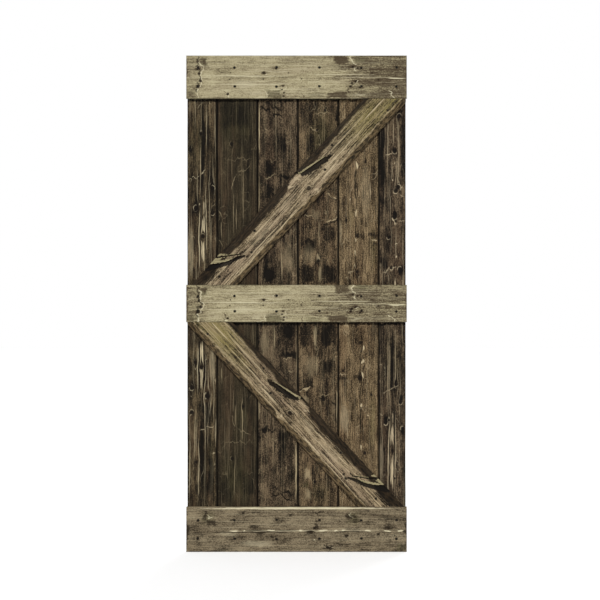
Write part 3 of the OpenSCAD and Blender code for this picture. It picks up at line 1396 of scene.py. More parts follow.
@dataclass
class Plank(Board):
    """An upright tongue-and-groove plank."""

    thickness: float = 19.0
    bevel: float = 2.0
    arris: float = 1.2
    tongue: float = 6.0
    tongue_reach: float = 7.0
    groove: float = 6.4
    groove_depth: float = 6.2
    grooved: bool = True
    tongued: bool = True
    step_across: float = 1.8
    step_along: float = 6.6

    def faces_x(self) -> tuple[float, float]:
        """Gives the x of the plank's two side faces, without its tongue."""
        low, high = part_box(self.node)
        return low.x / MM, high.x / MM - (self.tongue_reach if self.tongued else 0.0)

    def lay(self) -> Lay:
        """Stands the plank up, with its width towards -X."""
        low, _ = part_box(self.node)
        left, right = self.faces_x()
        return Lay(((left + right) / 2, low.y / MM, low.z / MM), (0, 0, 1), (-1, 0, 0))

    def half_width(self) -> float:
        """Gives half the width of the plank's face."""
        left, right = self.faces_x()
        return (right - left) / 2

    def pooled(self, loom: Loom, figure: Figure) -> Wire:
        """Weaves the pooled stain and painted shade, and dark lines along the seams of the back."""
        inset = self.half_width() - loom.math("ABSOLUTE", figure.across)
        back = figure.depth.rise(self.thickness - 1.7, self.thickness - 1.0)
        return super().pooled(loom, figure).most((1 - inset.rise(0.9, 3.0)) * back * 0.9)

    def section(self) -> np.ndarray:
        """Gives the plank's section, across and depth."""
        left, right = self.faces_x()
        half, deep = (right - left) / 2, self.thickness
        left_bevel = self.bevel if self.grooved else self.arris
        right_bevel = self.bevel if self.tongued else self.arris
        face_steps = round(2 * half / self.step_across)
        corners = [
            (half - left_bevel, 0.0, face_steps),
            (-half + right_bevel, 0.0, 2),
            (-half, right_bevel, 2),
        ]
        if self.tongued:
            low, high = (deep - self.tongue) / 2, (deep + self.tongue) / 2
            out = -half - self.tongue_reach
            corners += [(-half, low, 2), (out, low, 2), (out, high, 2), (-half, high, 2)]
        corners += [
            (-half, deep - self.arris, 1),
            (-half + self.arris, deep, face_steps // 2),
            (half - self.arris, deep, 1),
            (half, deep - self.arris, 2),
        ]
        if self.grooved:
            low, high = (deep - self.groove) / 2, (deep + self.groove) / 2
            into = half - self.groove_depth
            corners += [(half, high, 2), (into, high, 2), (into, low, 2), (half, low, 2)]
        corners.append((half, left_bevel, 2))
        return edge_points(corners)

    def shell(self) -> Shell:
        """Sweeps the section up the door."""
        low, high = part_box(self.node)
        return run_straight(self.section(), (high.z - low.z) / MM, self.step_along)


@dataclass
class Rail(Board):
    """A level board across the planks."""

    arris: float = 1.2
    step_across: float = 1.8
    step_along: float = 4.6
    pool_and_shade_reach: float = 3.0

    def half_width(self) -> float:
        """Gives half the rail's height."""
        low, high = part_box(self.node)
        return (high.z - low.z) / MM / 2

    def lay(self) -> Lay:
        """Lays the rail level, with its grain from left to right."""
        low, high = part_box(self.node)
        return Lay((low.x / MM, low.y / MM, (low.z + high.z) / 2 / MM), (1, 0, 0), (0, 0, 1))

    def shell(self) -> Shell:
        """Sweeps the section across the door."""
        low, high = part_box(self.node)
        size = (high - low) / MM
        half = size.z / 2
        face_steps = round(2 * half / self.step_across)
        section = edge_points(
            [
                (half - self.arris, 0.0, face_steps),
                (-half + self.arris, 0.0, 1),
                (-half, self.arris, 6),
                (-half, size.y, face_steps // 3),
                (half, size.y, 6),
                (half, self.arris, 1),
            ]
        )
        return run_straight(section, size.x, self.step_along)


@dataclass(frozen=True)
class Gouge:
    """A torn hollow along a line of points: along, across, half width and depth at each."""

    line: tuple[tuple[float, float, float, float], ...]


@dataclass(frozen=True)
class Splinter:
    """A sliver of wood that still hangs on beside a hollow.

    Each station gives a point of its upper edge, one of its lower edge, and its top's depth.
    """

    stations: tuple[tuple[Point, Point, float], ...]
    thickness: float = 2.2


@dataclass
class Brace(Board):
    """A slanting board with live edges and torn branches."""

    width: float = 148.0
    inset: float = -2.0
    shift: float = 16.0
    falls: bool = False
    planks_width: float = 940.0
    upper_wane: tuple[Point, ...] = ()
    lower_wane: tuple[Point, ...] = ()
    upper_depth: float = 6.0
    lower_depth: float = 4.0
    gouges: tuple[Gouge, ...] = ()
    splinters: tuple[Splinter, ...] = ()
    bark_deep: Colour = stain(14, 10, 5)
    bark_light: Colour = stain(54, 42, 27)
    rind_deep: Colour = stain(16, 12, 6)
    rind_light: Colour = stain(112, 94, 66)
    lip_light: Colour = stain(170, 152, 118)
    sliver_stain: Colour = stain(178, 166, 126)
    step_across: float = 2.0
    step_along: float = 3.6

    def half_width(self) -> float:
        """Gives half the brace's width."""
        return self.width / 2

    def angle(self) -> float:
        """Gives the brace's slope in radians."""
        low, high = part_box(self.node)
        across, up = self.planks_width - 2 * self.inset, (high.z - low.z) / MM
        return math.atan2(up, across) + math.asin(self.width / math.hypot(across, up))

    def length(self) -> float:
        """Gives the length of the centreline between the rails."""
        low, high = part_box(self.node)
        return (high.z - low.z) / MM / math.sin(self.angle())

    def lay(self) -> Lay:
        """Slants the brace, with its grain from its low end up."""
        low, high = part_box(self.node)
        slope = self.angle()
        side = -1 if self.falls else 1
        half = self.length() / 2
        return Lay(
            (
                side * (self.shift - half * math.cos(slope)),
                low.y / MM,
                low.z / MM,
            ),
            (side * math.cos(slope), 0, math.sin(slope)),
            (-side * math.sin(slope), 0, math.cos(slope)),
        )

    def hollows(self, along: np.ndarray, across: np.ndarray) -> tuple[np.ndarray, np.ndarray]:
        """Measures the torn hollows.

        Args:
            along: How far each point lies along the brace.
            across: How far it lies up from the centreline.

        Returns:
            How deep the hollows are at each point, and how far the point is inside one, 0 to 1.
        """
        depth, inside = np.zeros_like(along), np.zeros_like(along)
        ragged = 1 + 0.22 * np.sin(along / 5.3 + across / 3.7) + 0.16 * np.sin(along / 2.1 - across / 6.1)
        for gouge in self.gouges:
            for start, end in zip(gouge.line, gouge.line[1:]):
                run, climb = end[0] - start[0], end[1] - start[1]
                share = ((along - start[0]) * run + (across - start[1]) * climb) / (run**2 + climb**2)
                share = np.clip(share, 0, 1)
                away = np.hypot(along - start[0] - share * run, across - start[1] - share * climb)
                half = start[2] + (end[2] - start[2]) * share
                here = np.clip(1.25 - away / half * ragged, 0, 1)
                here = here * here * (3 - 2 * here)
                depth = np.maximum(depth, here * (start[3] + (end[3] - start[3]) * share))
                inside = np.maximum(inside, here)
        return depth, inside

    def shell(self) -> Shell:
        """Sweeps the live-edge section, cut level at the rails and upright at the door's edge."""
        low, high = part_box(self.node)
        thick = (high.y - low.y) / MM
        slope, half, reach = self.angle(), self.width / 2, self.length()
        steps = round(self.width / self.step_across)
        section = edge_points(
            [(half, 0.0, steps), (-half, 0.0, 5), (-half, thick, steps), (half, thick, 5)],
        )
        across = section[:, 0]
        cut = -across / math.tan(slope)
        edge = self.planks_width / 2 - self.shift
        far = np.minimum(
            cut + reach, reach / 2 + (edge + across * math.sin(slope)) / math.cos(slope)
        )
        rows_count = round(reach / self.step_along) + 1
        share = np.linspace(0, 1, rows_count)[:, None]
        rest = np.zeros((rows_count, len(section), 3))
        rest[..., 0] = cut[None] + share * (far - cut)[None]
        rest[..., 1:] = section[None]
        shaped = rest.copy()
        along, width = rest[..., 0], rest[..., 1]
        wobble = 1.4 * np.sin(along / 31) + 0.9 * np.sin(along / 11 + 1.3) + 0.5 * np.sin(along / 4.7)
        top_width = np.interp(along, *zip(*self.upper_wane)) + wobble
        low_width = np.interp(along, *zip(*self.lower_wane)) + wobble
        top = np.clip((width - (half - top_width)) / top_width, 0, 1)
        bottom = np.clip((-width - (half - low_width)) / low_width, 0, 1)
        worn = self.upper_depth * top**1.5 + self.lower_depth * bottom**1.5
        bark = np.maximum(top, bottom)
        worn += bark * 0.5 * (1 + np.sin(along / 6.3 + width / 2.9) * np.sin(along / 2.7))
        torn, inside = self.hollows(along, width)
        sink = np.minimum(worn + torn, thick - 4)
        front = 1 - section[None, :, 1] / thick
        shaped[..., 2] = rest[..., 2] + sink * front
        shaped[..., 1] = rest[..., 1] * (1 - (np.abs(wobble) + 0.6) / half * (np.abs(width) >= half - 0.01))
        inner = (section[None, :, 1] < thick - 1) * 1.0
        edges = np.stack(
            [
                (width - half + top_width) * inner - FAR * (1 - inner),
                (-width - half + low_width) * inner - FAR * (1 - inner),
                inside * inner,
            ],
            -1,
        )
        low_cap, high_cap = self.ladder_caps(steps)
        shape_points, quads, ends = sweep(shaped, [low_cap, high_cap])
        return shape_points, rest.reshape(-1, 3), edges.reshape(-1, 3), quads, ends

    def ladder_caps(self, steps: int) -> tuple[list[np.ndarray], list[np.ndarray]]:
        """Closes a bent end with quads between the face and the back.

        Args:
            steps: How many steps the face and the back have.

        Returns:
            The faces of the low end and of the high end.
        """
        side = 5
        rungs = []
        for index in range(1, steps - 1):
            front, next_front = index, index + 1
            back, next_back = 2 * steps + side - index, 2 * steps + side - index - 1
            rungs.append(np.array([front, next_front, next_back, back]))
        first = [0, 1, 2 * steps + side - 1, 2 * steps + side]
        first += list(range(2 * steps + side + 1, 2 * steps + 2 * side))
        last = [steps - 1, steps, *range(steps + 1, steps + side), steps + side, steps + side + 1]
        rungs += [np.array(first), np.array(last)]
        return rungs, rungs

    def extras(self) -> list[tuple[np.ndarray, np.ndarray, list]]:
        """Shapes the splinters that hang on beside the hollows."""
        made = []
        section = ((1, 0.45), (0.5, 0.05), (-0.3, 0.1), (-1, 0.55), (-0.3, 1.0), (0.5, 0.9))
        for splinter in self.splinters:
            line = np.array([(*upper, *lower, top) for upper, lower, top in splinter.stations])
            count = 5 * (len(line) - 1) + 1
            at = np.linspace(0, len(line) - 1, count)
            path = np.stack([np.interp(at, np.arange(len(line)), line[:, i]) for i in range(5)], 1)
            ragged = 1 + 0.14 * np.sin(np.arange(count) * 2.3)[:, None]
            middle = (path[:, 0:2] + path[:, 2:4]) / 2
            half = (path[:, 0:2] - path[:, 2:4]) / 2 * ragged
            spread = np.hypot(*half.T)
            thick = splinter.thickness * (0.35 + 0.65 * spread / spread.max())
            rows, own = np.zeros((count, len(section), 3)), np.zeros((count, len(section), 3))
            travelled = np.concatenate([[0], np.cumsum(np.hypot(*np.diff(middle, axis=0).T))])
            for index, (side, deep) in enumerate(section):
                rows[:, index, :2] = middle + half * side
                rows[:, index, 2] = path[:, 4] + thick * deep
                own[:, index, 0] = travelled + 60
                own[:, index, 1] = spread * side
            whole = [np.arange(len(section))]
            points, quads, ends = sweep(rows, [whole, whole])
            made.append((points, own.reshape(-1, 3), [list(q) for q in quads.tolist()] + ends))
        return made

    def dress(self, loom: Loom, figure: Figure, colour: Wire) -> Wire:
        """Darkens the wanes, blackens the torn hollows with painted shade over their dark torn wood, and
        bleaches the splinters.

        Args:
            loom: The material's loom.
            figure: The wood's figure.
            colour: The colour of the sawn face.

        Returns:
            The finished colour.
        """
        upper, lower, hollow = loom.split(loom.attribute(EDGE, True))
        ragged = (figure.parts["Streak"] - 0.5) * 22 + (figure.parts["Speck"] - 0.5) * 26
        chips = loom.noise(
            (figure.along, figure.across, figure.depth), (24, 6.5, 6.5), figure.depth * 0 + 3.0, 3.0,
            0.62,
        )
        sheen = figure.parts["Streak"].rise(0.4, 0.6) * 0.3 + chips[2].rise(0.42, 0.62) * 0.7
        bark = loom.blend(sheen, self.bark_deep, self.bark_light)
        rough = chips[0].rise(0.43, 0.6) * 0.8 + figure.parts["Fibre"].rise(0.4, 0.6) * 0.2
        rind = loom.blend(rough, self.rind_deep, self.rind_light)
        colour = loom.blend((upper + ragged).rise(0.0, 3.0) * 0.96, colour, bark)
        lip = (lower + ragged * 0.5).rise(-5.0, -1.5) * (1 - (lower + ragged * 0.5).rise(0.5, 3.0))
        colour = loom.blend((lower + ragged * 0.6).rise(0.0, 3.0) * 0.92, colour, rind)
        colour = loom.blend(lip * chips[1].rise(0.4, 0.55) * 0.8, colour, self.lip_light)
        # Painted shade in the torn hollows, over dark torn wood.
        colour = loom.blend(hollow.rise(0.15, 0.6) * 0.94, colour, self.finish.pitch)
        fresh = loom.blend(
            figure.parts["Fibre"].rise(0.46, 0.58) * 0.6, self.sliver_stain, self.finish.deep,
        )
        return loom.blend((hollow * -0.9).clamped(), colour, fresh)


# --- Studio ---------------------------------------------------------------------------------------


@dataclass(frozen=True)
class Lamp:
    """A soft light: a broad sun, or a square lamp where it has a size in metres."""

    name: str
    place: tuple[float, float, float]
    aim: tuple[float, float, float]
    power: float
    size: float = 0.0
    softness: float = 7.0


@dataclass
class Studio:
    """A pale floor, soft light and the camera."""

    floor_radius: float = 30.0
    camera_place: tuple[float, float, float] = (0.015, -7.18, 1.083)
    lens: float = 100.0
    fill: float = 0.42
    lamps: tuple[Lamp, ...] = (
        Lamp("key", (-0.15, -5.0, 5.2), (0.0, 0.0, 1.0), 3.3),
        Lamp("back_fill", (1.6, 5.2, 4.4), (0.0, 0.0, 1.0), 150.0, 3.0),
    )

    def build(self) -> None:
        """Sets the floor, the light and the camera."""
        self.lay_floor()
        for lamp in self.lamps:
            self.hang(lamp)
        self.light_world()
        data = bpy.data.cameras.new("camera")
        data.lens = self.lens
        data.sensor_width = 36.0
        data.clip_end = 200.0
        camera = bpy.data.objects.new("camera", data)
        camera.location = self.camera_place
        camera.rotation_euler = (math.radians(90), 0, 0)
        bpy.context.scene.collection.objects.link(camera)
        bpy.context.scene.camera = camera
        bpy.context.scene.view_settings.view_transform = "Standard"

    def lay_floor(self) -> None:
        """Lays a plain round floor under the door."""
        turn = np.arange(96) * 2 * math.pi / 96
        rim = np.stack([np.cos(turn), np.sin(turn), turn * 0], 1) * self.floor_radius
        floor = bpy.data.objects.new("floor", make_mesh("floor", rim, [range(96)]))
        bpy.context.scene.collection.objects.link(floor)
        paint = bpy.data.materials.new("pale_floor")
        paint.use_nodes = True
        shader = paint.node_tree.nodes["Principled BSDF"]
        shader.inputs["Base Color"].default_value = (0.95, 0.95, 0.95, 1.0)
        shader.inputs["Roughness"].default_value = 0.9
        shader.inputs["Specular IOR Level"].default_value = 0.1
        floor.data.materials.append(paint)

    def hang(self, lamp: Lamp) -> None:
        """Hangs one lamp and turns it to its aim."""
        data = bpy.data.lights.new(lamp.name, "AREA" if lamp.size else "SUN")
        if lamp.size:
            data.size = lamp.size
        else:
            data.angle = math.radians(lamp.softness)
        data.energy = lamp.power
        made = bpy.data.objects.new(lamp.name, data)
        made.location = lamp.place
        reach = np.array(lamp.aim) - np.array(lamp.place)
        away = math.atan2(math.hypot(reach[0], reach[1]), -reach[2])
        made.rotation_euler = (away, 0, math.atan2(-reach[0], reach[1]))
        bpy.context.scene.collection.objects.link(made)

    def light_world(self) -> None:
        """Fills the room with even light, and shows it white behind the door."""
        world = bpy.data.worlds.new("studio")
        world.use_nodes = True
        bpy.context.scene.world = world
        loom = Loom(world.node_tree)
        fill = world.node_tree.nodes["Background"]
        fill.inputs["Color"].default_value = (1.0, 1.0, 1.0, 1.0)
        fill.inputs["Strength"].default_value = self.fill
        seen = loom.node("ShaderNodeBackground")
        seen.inputs["Color"].default_value = (1.0, 1.0, 1.0, 1.0)
        path = loom.node("ShaderNodeLightPath")
        mix = loom.node("ShaderNodeMixShader")
        loom.feed(mix.inputs[0], path.outputs["Is Camera Ray"])
        loom.feed(mix.inputs[1], fill.outputs[0])
        loom.feed(mix.inputs[2], seen.outputs[0])
        loom.feed(world.node_tree.nodes["World Output"].inputs["Surface"], mix.outputs[0])


# --- The door -------------------------------------------------------------------------------------


def shade_of(
    finish: WoodFinish, deep: Colour, middle: Colour, light: Colour, **changes: object
) -> WoodFinish:
    """Gives a finish with other body colours."""
    return replace(finish, deep=deep, middle=middle, light=light, **changes)


def painted_rail_shadows(width: float = 200.0) -> list[Mark]:
    """Paints the shadows under the top and the middle rail as dark lines on the planks."""
    return [
        Mark(Kind.DARK, place, 0.0, 10.0, width, 0.9, edge=0.4) for place in (1948.0, 985.0)
    ]


def first_plank() -> Plank:
    """The plank at the left edge: a bright broken streak in a dark core."""
    return Plank(
        node="plank_1",
        slot="plank_stain",
        finish=shade_of(
            PLANK_FINISH, stain(17, 13, 7), stain(56, 47, 32), stain(114, 98, 72),
            bright=stain(206, 190, 154), streak_share=0.7, fibre_share=1.7,
        ),
        growth=Growth(1.3, 8.0, 70.0, 6.5, 0.012),
        grooved=False,
        knots=knots(
            (1357, -3, 7), (1480, 28, 8, 0.9, 60), (1455, -45, 6, 0.6, 200), (1565, -45, 8, 0.7, 300),
            (1730, 50, 7),
            (1800, 5, 6), (670, -22, 10, 0.7, 90), (793, 4, 7), (600, 45, 8, 0.5, 10),
            (705, 45, 8, 0.6, 150),
            (385, 25, 5), (815, 30, 5),
        ),
        marks=[
            *each(
                border, (1180, 1640, 5, 3, 0.9), (1230, 1560, -12, 3, 0.9), (690, 920, 12, 3, 0.8),
                (640, 920, -7, 3, 0.9), (1510, 1950, -2, 10, 0.8), (195, 640, 4, 10, 0.75),
                (1640, 1950, -24, 3, 0.7),
            ),
            *blocks(
                Kind.DARK, (1420, 1530, 5, 60, 0.5, 0.1), (540, 640, -50, 5, 0.7, 0.2),
                (1690, 1950, 12, 64, 0.35, 0.1), (195, 420, -60, -14, 0.3, 0.1),
            ),
            *each(
                pale_line, (1238, 1352, -6, 3.4, 1.0), (1244, 1346, 0, 3.0, 0.9), (1364, 1450, -7, 3.2, 1.0),
                (1368, 1440, -1, 2.8, 0.9), (1440, 1520, -7, 3.4, 0.6), (790, 916, 1, 3.4, 1.0),
                (796, 910, 7, 3.0, 0.9), (690, 800, 1, 3.2, 0.8), (700, 790, 6, 2.8, 0.7),
                (1180, 1500, 11, 2.8, 0.75), (1250, 1620, -16, 2.2, 0.6), (1500, 1800, 7, 2.0, 0.4),
                (1700, 1950, -17, 2.0, 0.45), (1160, 1420, 45, 12, 0.25), (1160, 1400, 58, 4, 0.4),
                (690, 910, 18, 2.2, 0.7), (205, 510, 16, 2.2, 0.55), (350, 920, -11, 2.0, 0.55),
                (440, 600, -56, 2.4, 0.5), (700, 900, -40, 16, 0.25), (560, 700, -30, 2.0, 0.4),
            ),
            *strokes(
                Kind.PALE, ((1605, 50), (1615, 12), (1645, -16), 2.5, 0.5),
                ((510, 15), (530, -15), (542, -50), 2.5, 0.5), ((586, 58), (600, 35), 2.5, 0.5),
            ),
            *each(pale, (425, -50, 8, 8, 0.5), (1492, 12, 5, 4, 0.8)),
            *each(olive, (1780, 30, 170, 60, 0.6), (420, -20, 200, 50, 0.5)),
            *painted_rail_shadows(),
        ],
    )


def second_plank() -> Plank:
    """The second plank: the darkest, nearly even, olive at its ends."""
    return Plank(
        node="plank_2",
        slot="plank_stain",
        finish=shade_of(
            PLANK_FINISH, stain(20, 16, 9), stain(46, 39, 26), stain(78, 67, 48),
            tone_share=0.8, blotch_share=0.8, streak_share=0.6, wisp_share=0.16, line_share=0.2,
        ),
        growth=Growth(2.9, -30.0, 90.0, 7.5, -0.02),
        knots=knots(
            (1755, 25, 7, 0.3, 90), (400, 22, 7, 0.3, 90), (1210, -50, 5), (840, 40, 5), (625, -25, 5),
        ),
        marks=[
            *each(
                pale_line, (1350, 1570, 16, 1.8, 0.45), (1370, 1500, 5, 1.8, 0.4), (1390, 1680, -25, 2.0, 0.5),
                (460, 700, -22, 2.0, 0.5), (530, 640, 8, 1.8, 0.45), (200, 480, 13, 1.6, 0.35),
                (580, 700, 17, 1.6, 0.35), (720, 800, 66, 3, 0.4), (1350, 1430, 68, 3, 0.4),
            ),
            *strokes(
                Kind.PALE, ((1560, 30), (1630, 2), 2.2, 0.38), ((1630, 2), (1665, -60), 2.2, 0.34),
                ((490, -60), (535, 5), 2.2, 0.38), ((535, 5), (585, 28), 2.2, 0.34),
                ((470, -80), (470, 80), 2.4, 0.22), ((1690, -80), (1690, 70), 2.4, 0.17),
                ((1440, 60), (1470, 80), 2.4, 0.38), ((1310, 60), (1345, 78), 2.4, 0.38),
            ),
            *blocks(
                Kind.DARK, (1815, 1950, -80, 80, 0.42, 0.5), (190, 345, 20, 84, 0.4, 0.5),
                (240, 345, -80, -20, 0.4, 0.5), (1690, 1815, -80, 0, 0.25, 0.5),
            ),
            *each(olive, (1850, 0, 170, 100, 0.8), (300, 0, 170, 100, 0.7), (560, -20, 120, 60, 0.5)),
            *each(border, (1150, 1600, 70, 4, 0.4), (1480, 1740, -45, 5, 0.4)),
            *painted_rail_shadows(),
        ],
    )


def third_plank() -> Plank:
    """The third plank: big dark knots and blotches on a greyish ground, pale along its left edge."""
    return Plank(
        node="plank_3",
        slot="plank_stain",
        finish=shade_of(
            PLANK_FINISH, stain(15, 11, 6), stain(64, 53, 39), stain(116, 99, 76),
            blotch_share=1.7, speck_share=2.6, streak_share=0.5, line_share=0.24,
        ),
        growth=Growth(4.1, 20.0, 60.0, 7.0, 0.025),
        knots=knots((1190, 40, 20), (948, -42, 16), (515, 55, 6)),
        marks=[
            *each(
                dark, (948, -45, 44, 34, 1.0), (530, 55, 14, 26, 0.9), (515, 20, 8, 30, 0.7),
                (845, -50, 14, 50, 0.9), (452, -24, 16, 14, 0.8), (1428, -30, 40, 16, 0.5),
                (1480, -10, 24, 16, 0.4), (1760, -20, 60, 30, 0.45), (400, -10, 60, 30, 0.35),
                (1612, -30, 10, 34, 0.9),
            ),
            *blocks(
                Kind.DARK, (1506, 1596, -6, 70, 0.8, 0.0), (1618, 1694, -10, 66, 0.78, 0.0),
                (460, 526, -58, 4, 0.85, 0.05), (830, 860, -84, -60, 1.0, 0.4),
            ),
            *each(border, (415, 480, 12, 3.5, 0.9), (1565, 1625, -12, 3.5, 0.9)),
            *strokes(
                Kind.CRACK, ((1624, 30), (1606, -40), 2.2, 0.9), ((1866, -28), (1890, 22), 5.0, 1.0),
                ((1890, 22), (1912, 76), 5.4, 1.0), ((1890, 22), (1872, 12), 4.4, 1.0),
                ((1902, -20), (1916, 30), 4.4, 1.0), ((1916, 30), (1940, 50), 4.0, 0.9),
                ((215, -72), (245, 0), 4.6, 1.0), ((245, 0), (228, 30), 4.0, 1.0),
                ((236, -72), (262, -14), 4.2, 1.0), ((262, -14), (274, 26), 4.0, 0.9),
            ),
            *strokes(
                Kind.PALE, ((1600, 60), (1628, 6), 3.0, 0.4), ((826, -20), (836, -64), 3.0, 0.45),
                ((764, -40), (774, -66), 3.0, 0.4),
            ),
            *each(
                pale_line, (1690, 1945, 79, 3.5, 0.85), (1160, 1690, 79, 3.0, 0.4), (1160, 1300, -12, 2.4, 0.7),
                (850, 980, 10, 2.4, 0.7), (200, 500, -78, 4.0, 0.8), (700, 980, -79, 3.0, 0.4),
                (560, 700, 80, 4, 0.5),
            ),
            *each(pale, (900, 55, 80, 26, 0.3), (1260, -40, 90, 30, 0.22), (1250, -55, 60, 20, 0.2)),
            *each(olive, (1560, 76, 80, 16, 0.4)),
            Mark(Kind.DARK, 1192, 38, 48, 34, 1.0, math.radians(20), edge=0.35),
            *painted_rail_shadows(),
        ],
    )


def fourth_plank() -> Plank:
    """The fourth plank: dark blocks split by tan bands, olive above."""
    return Plank(
        node="plank_4",
        slot="plank_stain",
        finish=shade_of(
            PLANK_FINISH, stain(18, 13, 7), stain(72, 59, 42), stain(130, 110, 82),
            blotch_share=1.7, speck_share=3.0, streak_share=0.5, line_share=0.22, fibre_share=1.7,
        ),
        growth=Growth(5.7, -12.0, 55.0, 7.0, -0.03),
        knots=knots(
            (1252, -2, 6, 0.6, 0), (1860, -80, 6), (1815, 5, 5, 0.6, 90), (1900, -30, 5, 0.5, 270),
            (655, -22, 7), (300, 15, 6, 0.5, 90),
        ),
        marks=[
            *blocks(
                Kind.DARK, (1150, 1236, 8, 76, 0.85), (1150, 1236, -82, -22, 0.95), (872, 985, 26, 82, 0.8),
                (878, 985, -84, -12, 1.0), (1292, 1346, 4, 62, 0.75), (1338, 1404, -84, -10, 0.4),
                (760, 830, -70, -10, 0.6, 0.3), (706, 770, 20, 80, 0.35), (1700, 1800, 5, 56, 0.35),
                (1820, 1950, 0, 84, 0.3), (1450, 1560, -60, 30, 0.3, 0.1), (216, 270, -50, 20, 0.4, 0.3),
                (292, 340, -60, 0, 0.45, 0.3),
            ),
            *each(
                border, (1150, 1236, 81, 2.5, 0.5), (1150, 1240, -17, 2.5, 0.6), (290, 400, 22, 2.5, 0.6),
            ),
            *each(
                pale_line, (1150, 1240, -8, 8, 0.4), (870, 985, 12, 8, 0.45), (740, 860, 6, 3, 0.5),
                (1240, 1290, 0, 4, 0.6), (1290, 1450, -4, 3, 0.4), (540, 720, -80, 3, 0.7),
            ),
            *strokes(
                Kind.CRACK, ((1402, -16), (1406, -50), (1424, -84), 4.2, 0.9),
                ((1538, -46), (1520, -70), 3.4, 0.9), ((710, 10), (708, 50), (694, 84), 4.0, 0.9),
                ((666, 0), (650, -40), 2.2, 0.9),
            ),
            *strokes(
                Kind.PALE, ((1414, -36), (1420, -62), 4.0, 0.8), ((1420, -62), (1432, -84), 4.0, 0.7),
                ((1545, -40), (1528, -62), (1518, -82), 3.6, 0.9), ((1446, 60), (1438, 20), 4, 0.45),
                ((702, 36), (696, 68), 4.0, 0.8), ((696, 68), (686, 86), 4.0, 0.7),
                ((672, -10), (668, -50), 2.6, 0.5), ((1826, 40), (1818, -6), 3.2, 0.5),
                ((1886, 20), (1890, -60), 3.0, 0.4),
            ),
            *each(dark, (638, -66, 7, 12, 1.0)),
            *each(
                pale, (650, 56, 36, 18, 0.45), (1450, 10, 30, 26, 0.2), (1280, 40, 50, 40, 0.18),
                (800, 30, 60, 40, 0.22),
            ),
            *blocks(Kind.PALE, (220, 270, 28, 60, 0.4, 0.2), (306, 360, 30, 56, 0.5, 0.3)),
            *each(
                olive, (285, 50, 20, 26, 1.0), (1190, -8, 60, 9, 0.6), (1780, -20, 220, 100, 1.0),
                (640, 60, 40, 20, 0.4), (250, 0, 60, 80, 0.6),
            ),
            *painted_rail_shadows(),
        ],
    )


def fifth_plank() -> Plank:
    """The fifth plank: lighter and warmer, with a double dark line that wanders up it."""
    bright = [
        (1225, 19), (1285, 15), (1345, 12), (1465, 12), (1665, 8), (445, -13), (630, -13), (822, -18),
        (758, -18), (880, -22),
    ]
    return Plank(
        node="plank_5",
        slot="plank_stain_light",
        finish=shade_of(
            PLANK_FINISH, stain(30, 22, 13), stain(95, 79, 56), stain(148, 127, 95),
            bright=stain(200, 182, 146),
            warm=stain(100, 77, 54), olive=stain(98, 88, 54), speck_share=2.8, streak_share=1.1,
            fibre_share=2.1,
            line_share=0.28, dark_share=0.7,
        ),
        growth=Growth(7.9, 5.0, 34.0, 5.5, 0.02),
        knots=knots(
            (1360, 5, 7), (1205, 5, 6), (1427, 53, 5), (747, -6, 8), (900, -8, 6), (425, -27, 6),
            (675, -55, 5),
            (1680, -30, 4), (778, 66, 5),
        ),
        marks=[
            *strokes(
                Kind.CRACK, ((1150, 19), (1300, 17), (1460, 14), (1700, 12), 2.8, 0.95),
                ((200, -6), (420, -9), (640, -8), (985, -14), 2.8, 0.95),
            ),
            *strokes(
                Kind.DARK, ((1150, 10), (1340, 12), (1700, 4), 3.0, 0.9),
                ((450, -18), (640, -16), (900, -22), 3.0, 0.9),
            ),
            *each(pale, (1515, 39, 4, 7, 0.9), (585, -40, 4, 7, 0.9)),
            *strokes(Kind.PALE, ((1332, -56), (1346, -84), 3.2, 0.7), ((758, 84), (764, 56), 3.2, 0.7)),
            *spots(
                Kind.DARK, (1362, -58, 14, 32, 0.85, 0.1), (745, 66, 12, 28, 0.85, 0.1),
                (1890, 0, 90, 110, 0.35, 0.0), (950, 0, 110, 110, 0.3, 0.0), (1180, 60, 90, 40, 0.3, 0.0),
            ),
            *each(
                dark, (1322, -70, 10, 9, 0.5), (1530, -28, 26, 12, 0.4), (575, 28, 26, 12, 0.45),
                (1355, -14, 12, 18, 0.5), (748, 10, 12, 18, 0.5),
            ),
            *each(
                pale_line, (1320, 1440, 76, 8, 0.25), (500, 640, 60, 24, 0.3), (1500, 1600, -50, 2.2, 0.5),
                (470, 560, 46, 2.2, 0.5), (1420, 1680, -30, 26, 0.16),
            ),
            *each(olive, (1300, -66, 130, 22, 0.6), (560, -60, 180, 22, 0.7), (1440, 30, 70, 18, 0.5)),
            *spots(Kind.PALE, *((along, across, 13, 4.6, 1.0, 0.6) for along, across in bright)),
            *painted_rail_shadows(),
        ],
    )


